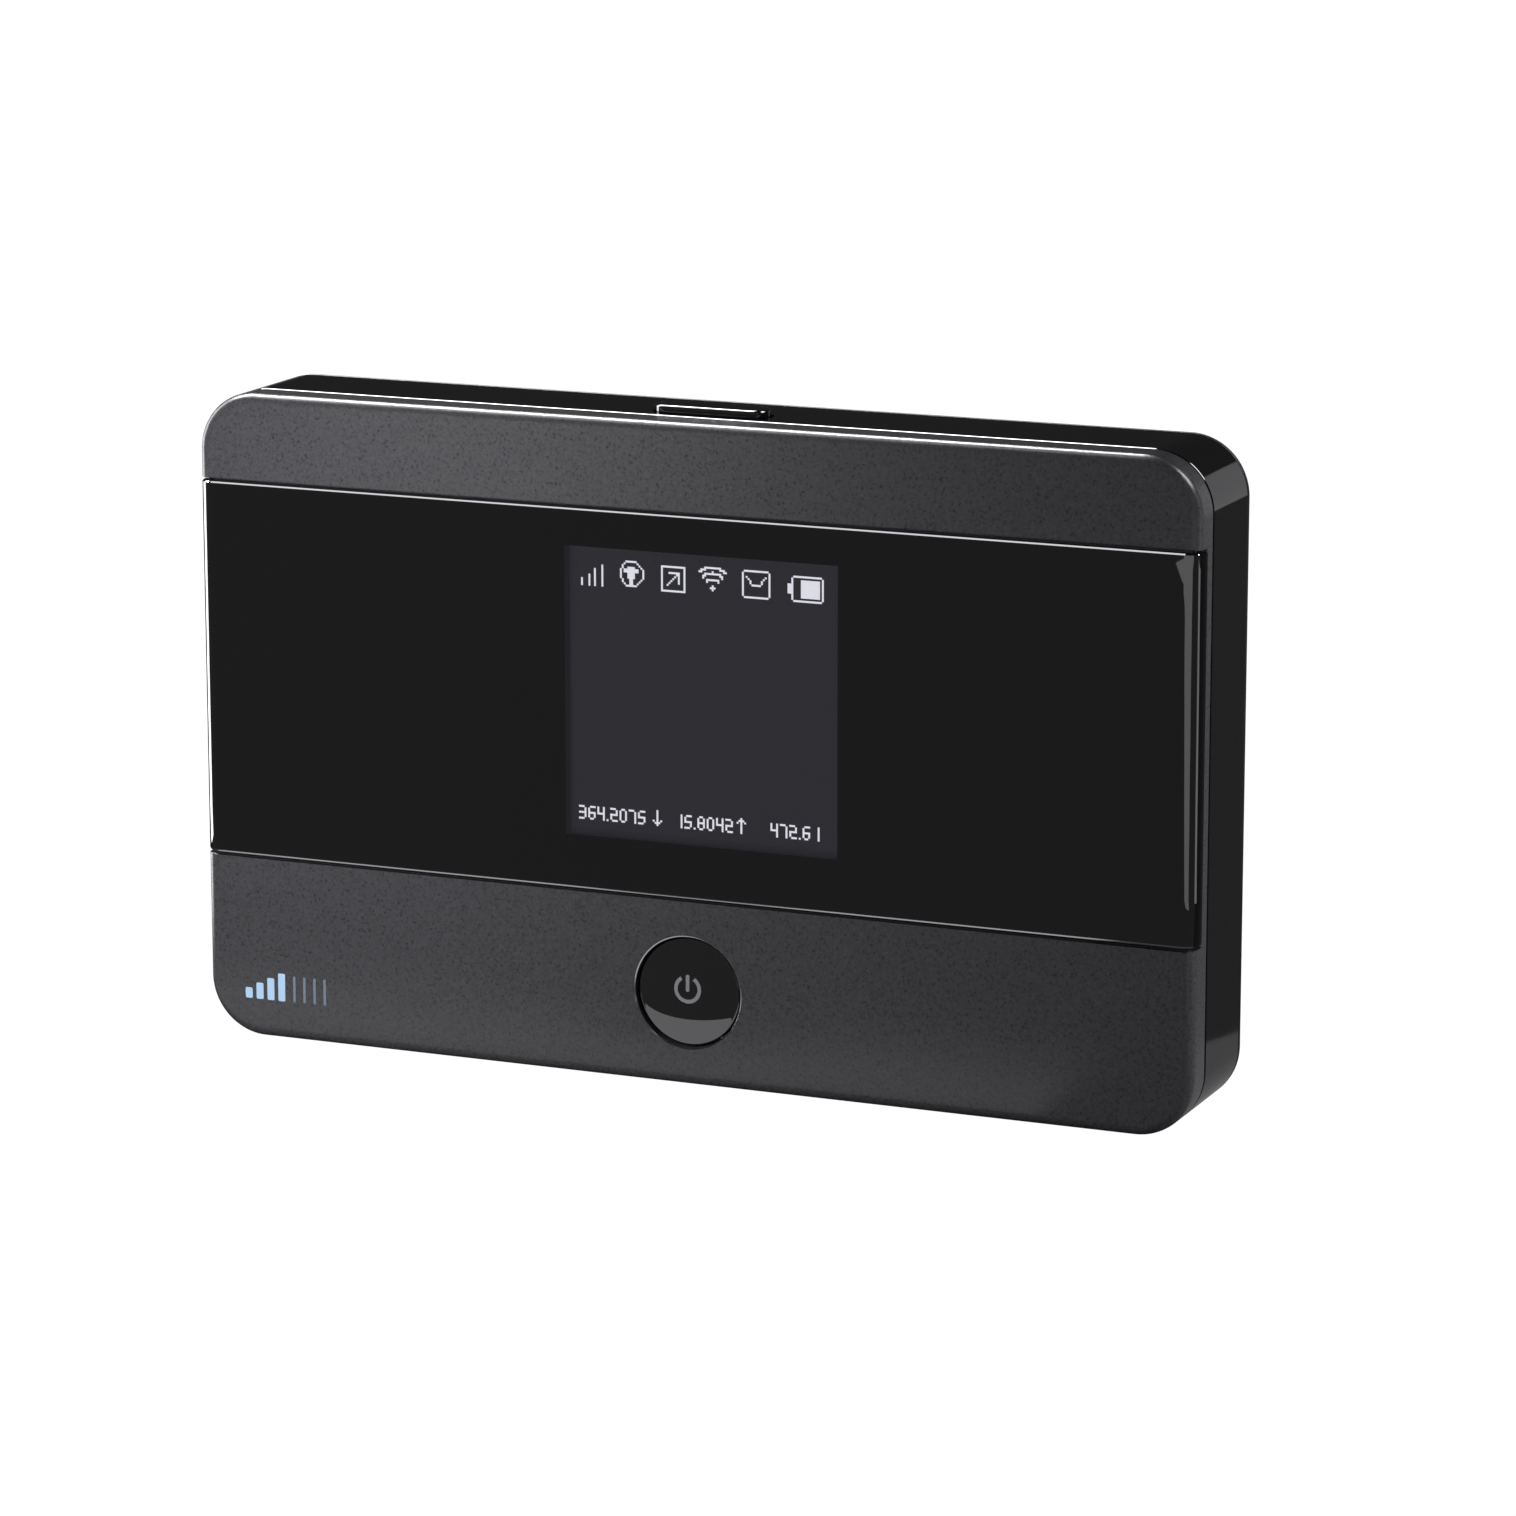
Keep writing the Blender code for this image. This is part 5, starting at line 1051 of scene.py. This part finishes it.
def soft_lamp(name, location, aim, size, power):
    """Rectangular soft light, turned towards a point and left out of the gloss."""
    lamp = bpy.data.lights.new(name, "AREA")
    lamp.shape = "RECTANGLE"
    lamp.size, lamp.size_y = size
    lamp.energy = power
    holder = bpy.data.objects.new(name, lamp)
    holder.location = location
    holder.rotation_euler = (Vector(aim) - Vector(location)).to_track_quat("-Z", "Y").to_euler()
    holder.visible_camera = False
    holder.visible_glossy = False
    bpy.context.scene.collection.objects.link(holder)
    return holder


studio_floor()
studio_world()
CENTRE = (0, 0, 0.033)
soft_lamp("key_left", (-0.060, -0.100, 0.058), (-0.020, 0, 0.036), (0.05, 0.05), 0.135)
soft_lamp("rear_soft", (0.10, 0.60, 0.14), CENTRE, (0.2, 0.2), 3.4)
soft_lamp("side_right", (0.25, 0.020, 0.050), CENTRE, (0.1, 0.1), 0.42)

# Grey and black cards keep the glossy pieces dark, and bright ones draw the lines along their edges.
LOW, MIDDLE, HIGH = 0.00004, 0.00008, 0.00012
floor_card("card_front", [(-1.2, -1.6), (1.2, -1.6), (1.2, -0.0085), (-1.2, -0.0085)], LOW, 0.13)
floor_card("card_left", [(-1.2, -0.0085), (-0.055, -0.0085), (-0.055, 0.9), (-1.2, 0.9)], LOW, 0.04)
floor_card("card_right", [(0.0, -0.0085), (1.2, -0.0085), (1.2, 0.9), (0.0, 0.9)], LOW, 0.05)
floor_card("card_under", [(-0.060, -0.0100), (0.053, -0.0100), (0.053, 0.012), (-0.060, 0.012)], MIDDLE, 0.02)
floor_card("card_corner", [(0.050, -0.004), (0.0716, -0.004), (0.0590, 0.040), (0.050, 0.040)], HIGH, 0.24)
floor_card("strip_left", [(-0.42, -0.073), (-0.100, -0.016), (-0.100, 0.0075), (-0.42, 0.112)], HIGH, 11.0)
floor_card("strip_right", [(x * MM, y * MM) for x, y in (
    (-47, -305), (-47, -293), (-42, -281), (-38, -272), (-25, -269), (-12, -267), (-3, -261), (4, -241),
    (14, -223), (26, -206), (37, -188), (47, -172), (53, -155), (61, -139), (66, -123), (71, -108), (75, -93),
    (79, -75), (100, -55), (110, -74), (117, -86), (124, -99), (134, -111), (140, -126), (148, -141),
    (159, -155), (165, -172), (174, -189), (186, -205), (195, -224), (206, -233), (213, -243), (220, -252),
    (251, -237), (262, -247), (212, -285), (161, -309), (107, -323), (52, -328), (-4, -323))], HIGH, 1.08)
floor_card("strip_side", [(x * MM, y * MM) for x, y in (
    (350, -82), (306, -61), (267, -50), (231, -40), (198, -31), (168, -21), (139, -14), (139, 12), (168, 10),
    (199, 10), (233, 8), (271, 6), (312, -2), (350, -2))], HIGH, 1.5)
arc = [(-0.009 + 0.0185 * sin(radians(a)), -0.0396 + 0.0185 * cos(radians(a))) for a in range(-50, 51, 5)]
floor_card("strip_key", [(-0.065, -0.0104), (-0.065, arc[0][1])] + arc
           + [(0.036, arc[-1][1]), (0.036, -0.0104)], HIGH, 1.15)
ROOM, ROOM_TOP = 1.2, 0.8       # half width and height of the ring of cards round the object
upright_card("card_back", (-ROOM, 1.0), (ROOM, 1.0), ROOM_TOP, 0.03)
upright_card("card_back_low", (-0.75, 0.98), (-0.30, 0.98), 0.10, 0.15)
stage_card("card_top", [(-ROOM, -ROOM, ROOM_TOP), (ROOM, -ROOM, ROOM_TOP),
                        (ROOM, ROOM, ROOM_TOP), (-ROOM, ROOM, ROOM_TOP)], 0.05)
upright_card("card_front_wall", (-ROOM, -1.3), (ROOM, -1.3), ROOM_TOP, 0.13)
upright_card("card_right_wall", (ROOM, -ROOM), (ROOM, ROOM), ROOM_TOP, 0.05)
upright_card("card_left_wall", (-ROOM, -ROOM), (-ROOM, ROOM), ROOM_TOP, 0.05)
stage_card("light_left", [(-0.42, -0.073, 0.001), (-0.42, 0.112, 0.001),
                          (-0.42, 0.13, 0.40), (-0.42, -0.06, 0.40)], 11.0)
stage_card("light_over", [(-0.42, -0.06, 0.40), (-0.065, 0.090, 0.40),
                          (-0.065, 0.235, 0.40), (-0.42, 0.13, 0.40)], 62.0)
stage_card("light_front", [(-0.28, -0.135, 0.40), (-0.055, -0.135, 0.40), (-0.055, -0.065, 0.40),
                           (-0.28, -0.065, 0.40)], 8.0)
far_card("light_right", (0.050, 0, 0.064), (15, 32), (-8, 14.4), 0.4, 0.50)
far_card("light_corner", (0.053, 0, 0.066), (60, 98), (34, 60), 0.45, 22.0)

# ---------------------------------------------------------------- camera
camera_data = bpy.data.cameras.new("camera")
camera_data.sensor_width = 36.0
camera_data.lens = 140.6
camera_data.clip_start = 0.05
camera_data.clip_end = 20.0
camera = bpy.data.objects.new("camera", camera_data)
camera.location = (0.22822, -0.52613, 0.15872)
camera.rotation_euler = Euler((radians(77.510), radians(0.038), radians(23.004)))
bpy.context.scene.collection.objects.link(camera)
bpy.context.scene.camera = camera
bpy.context.scene.view_settings.view_transform = "Standard"
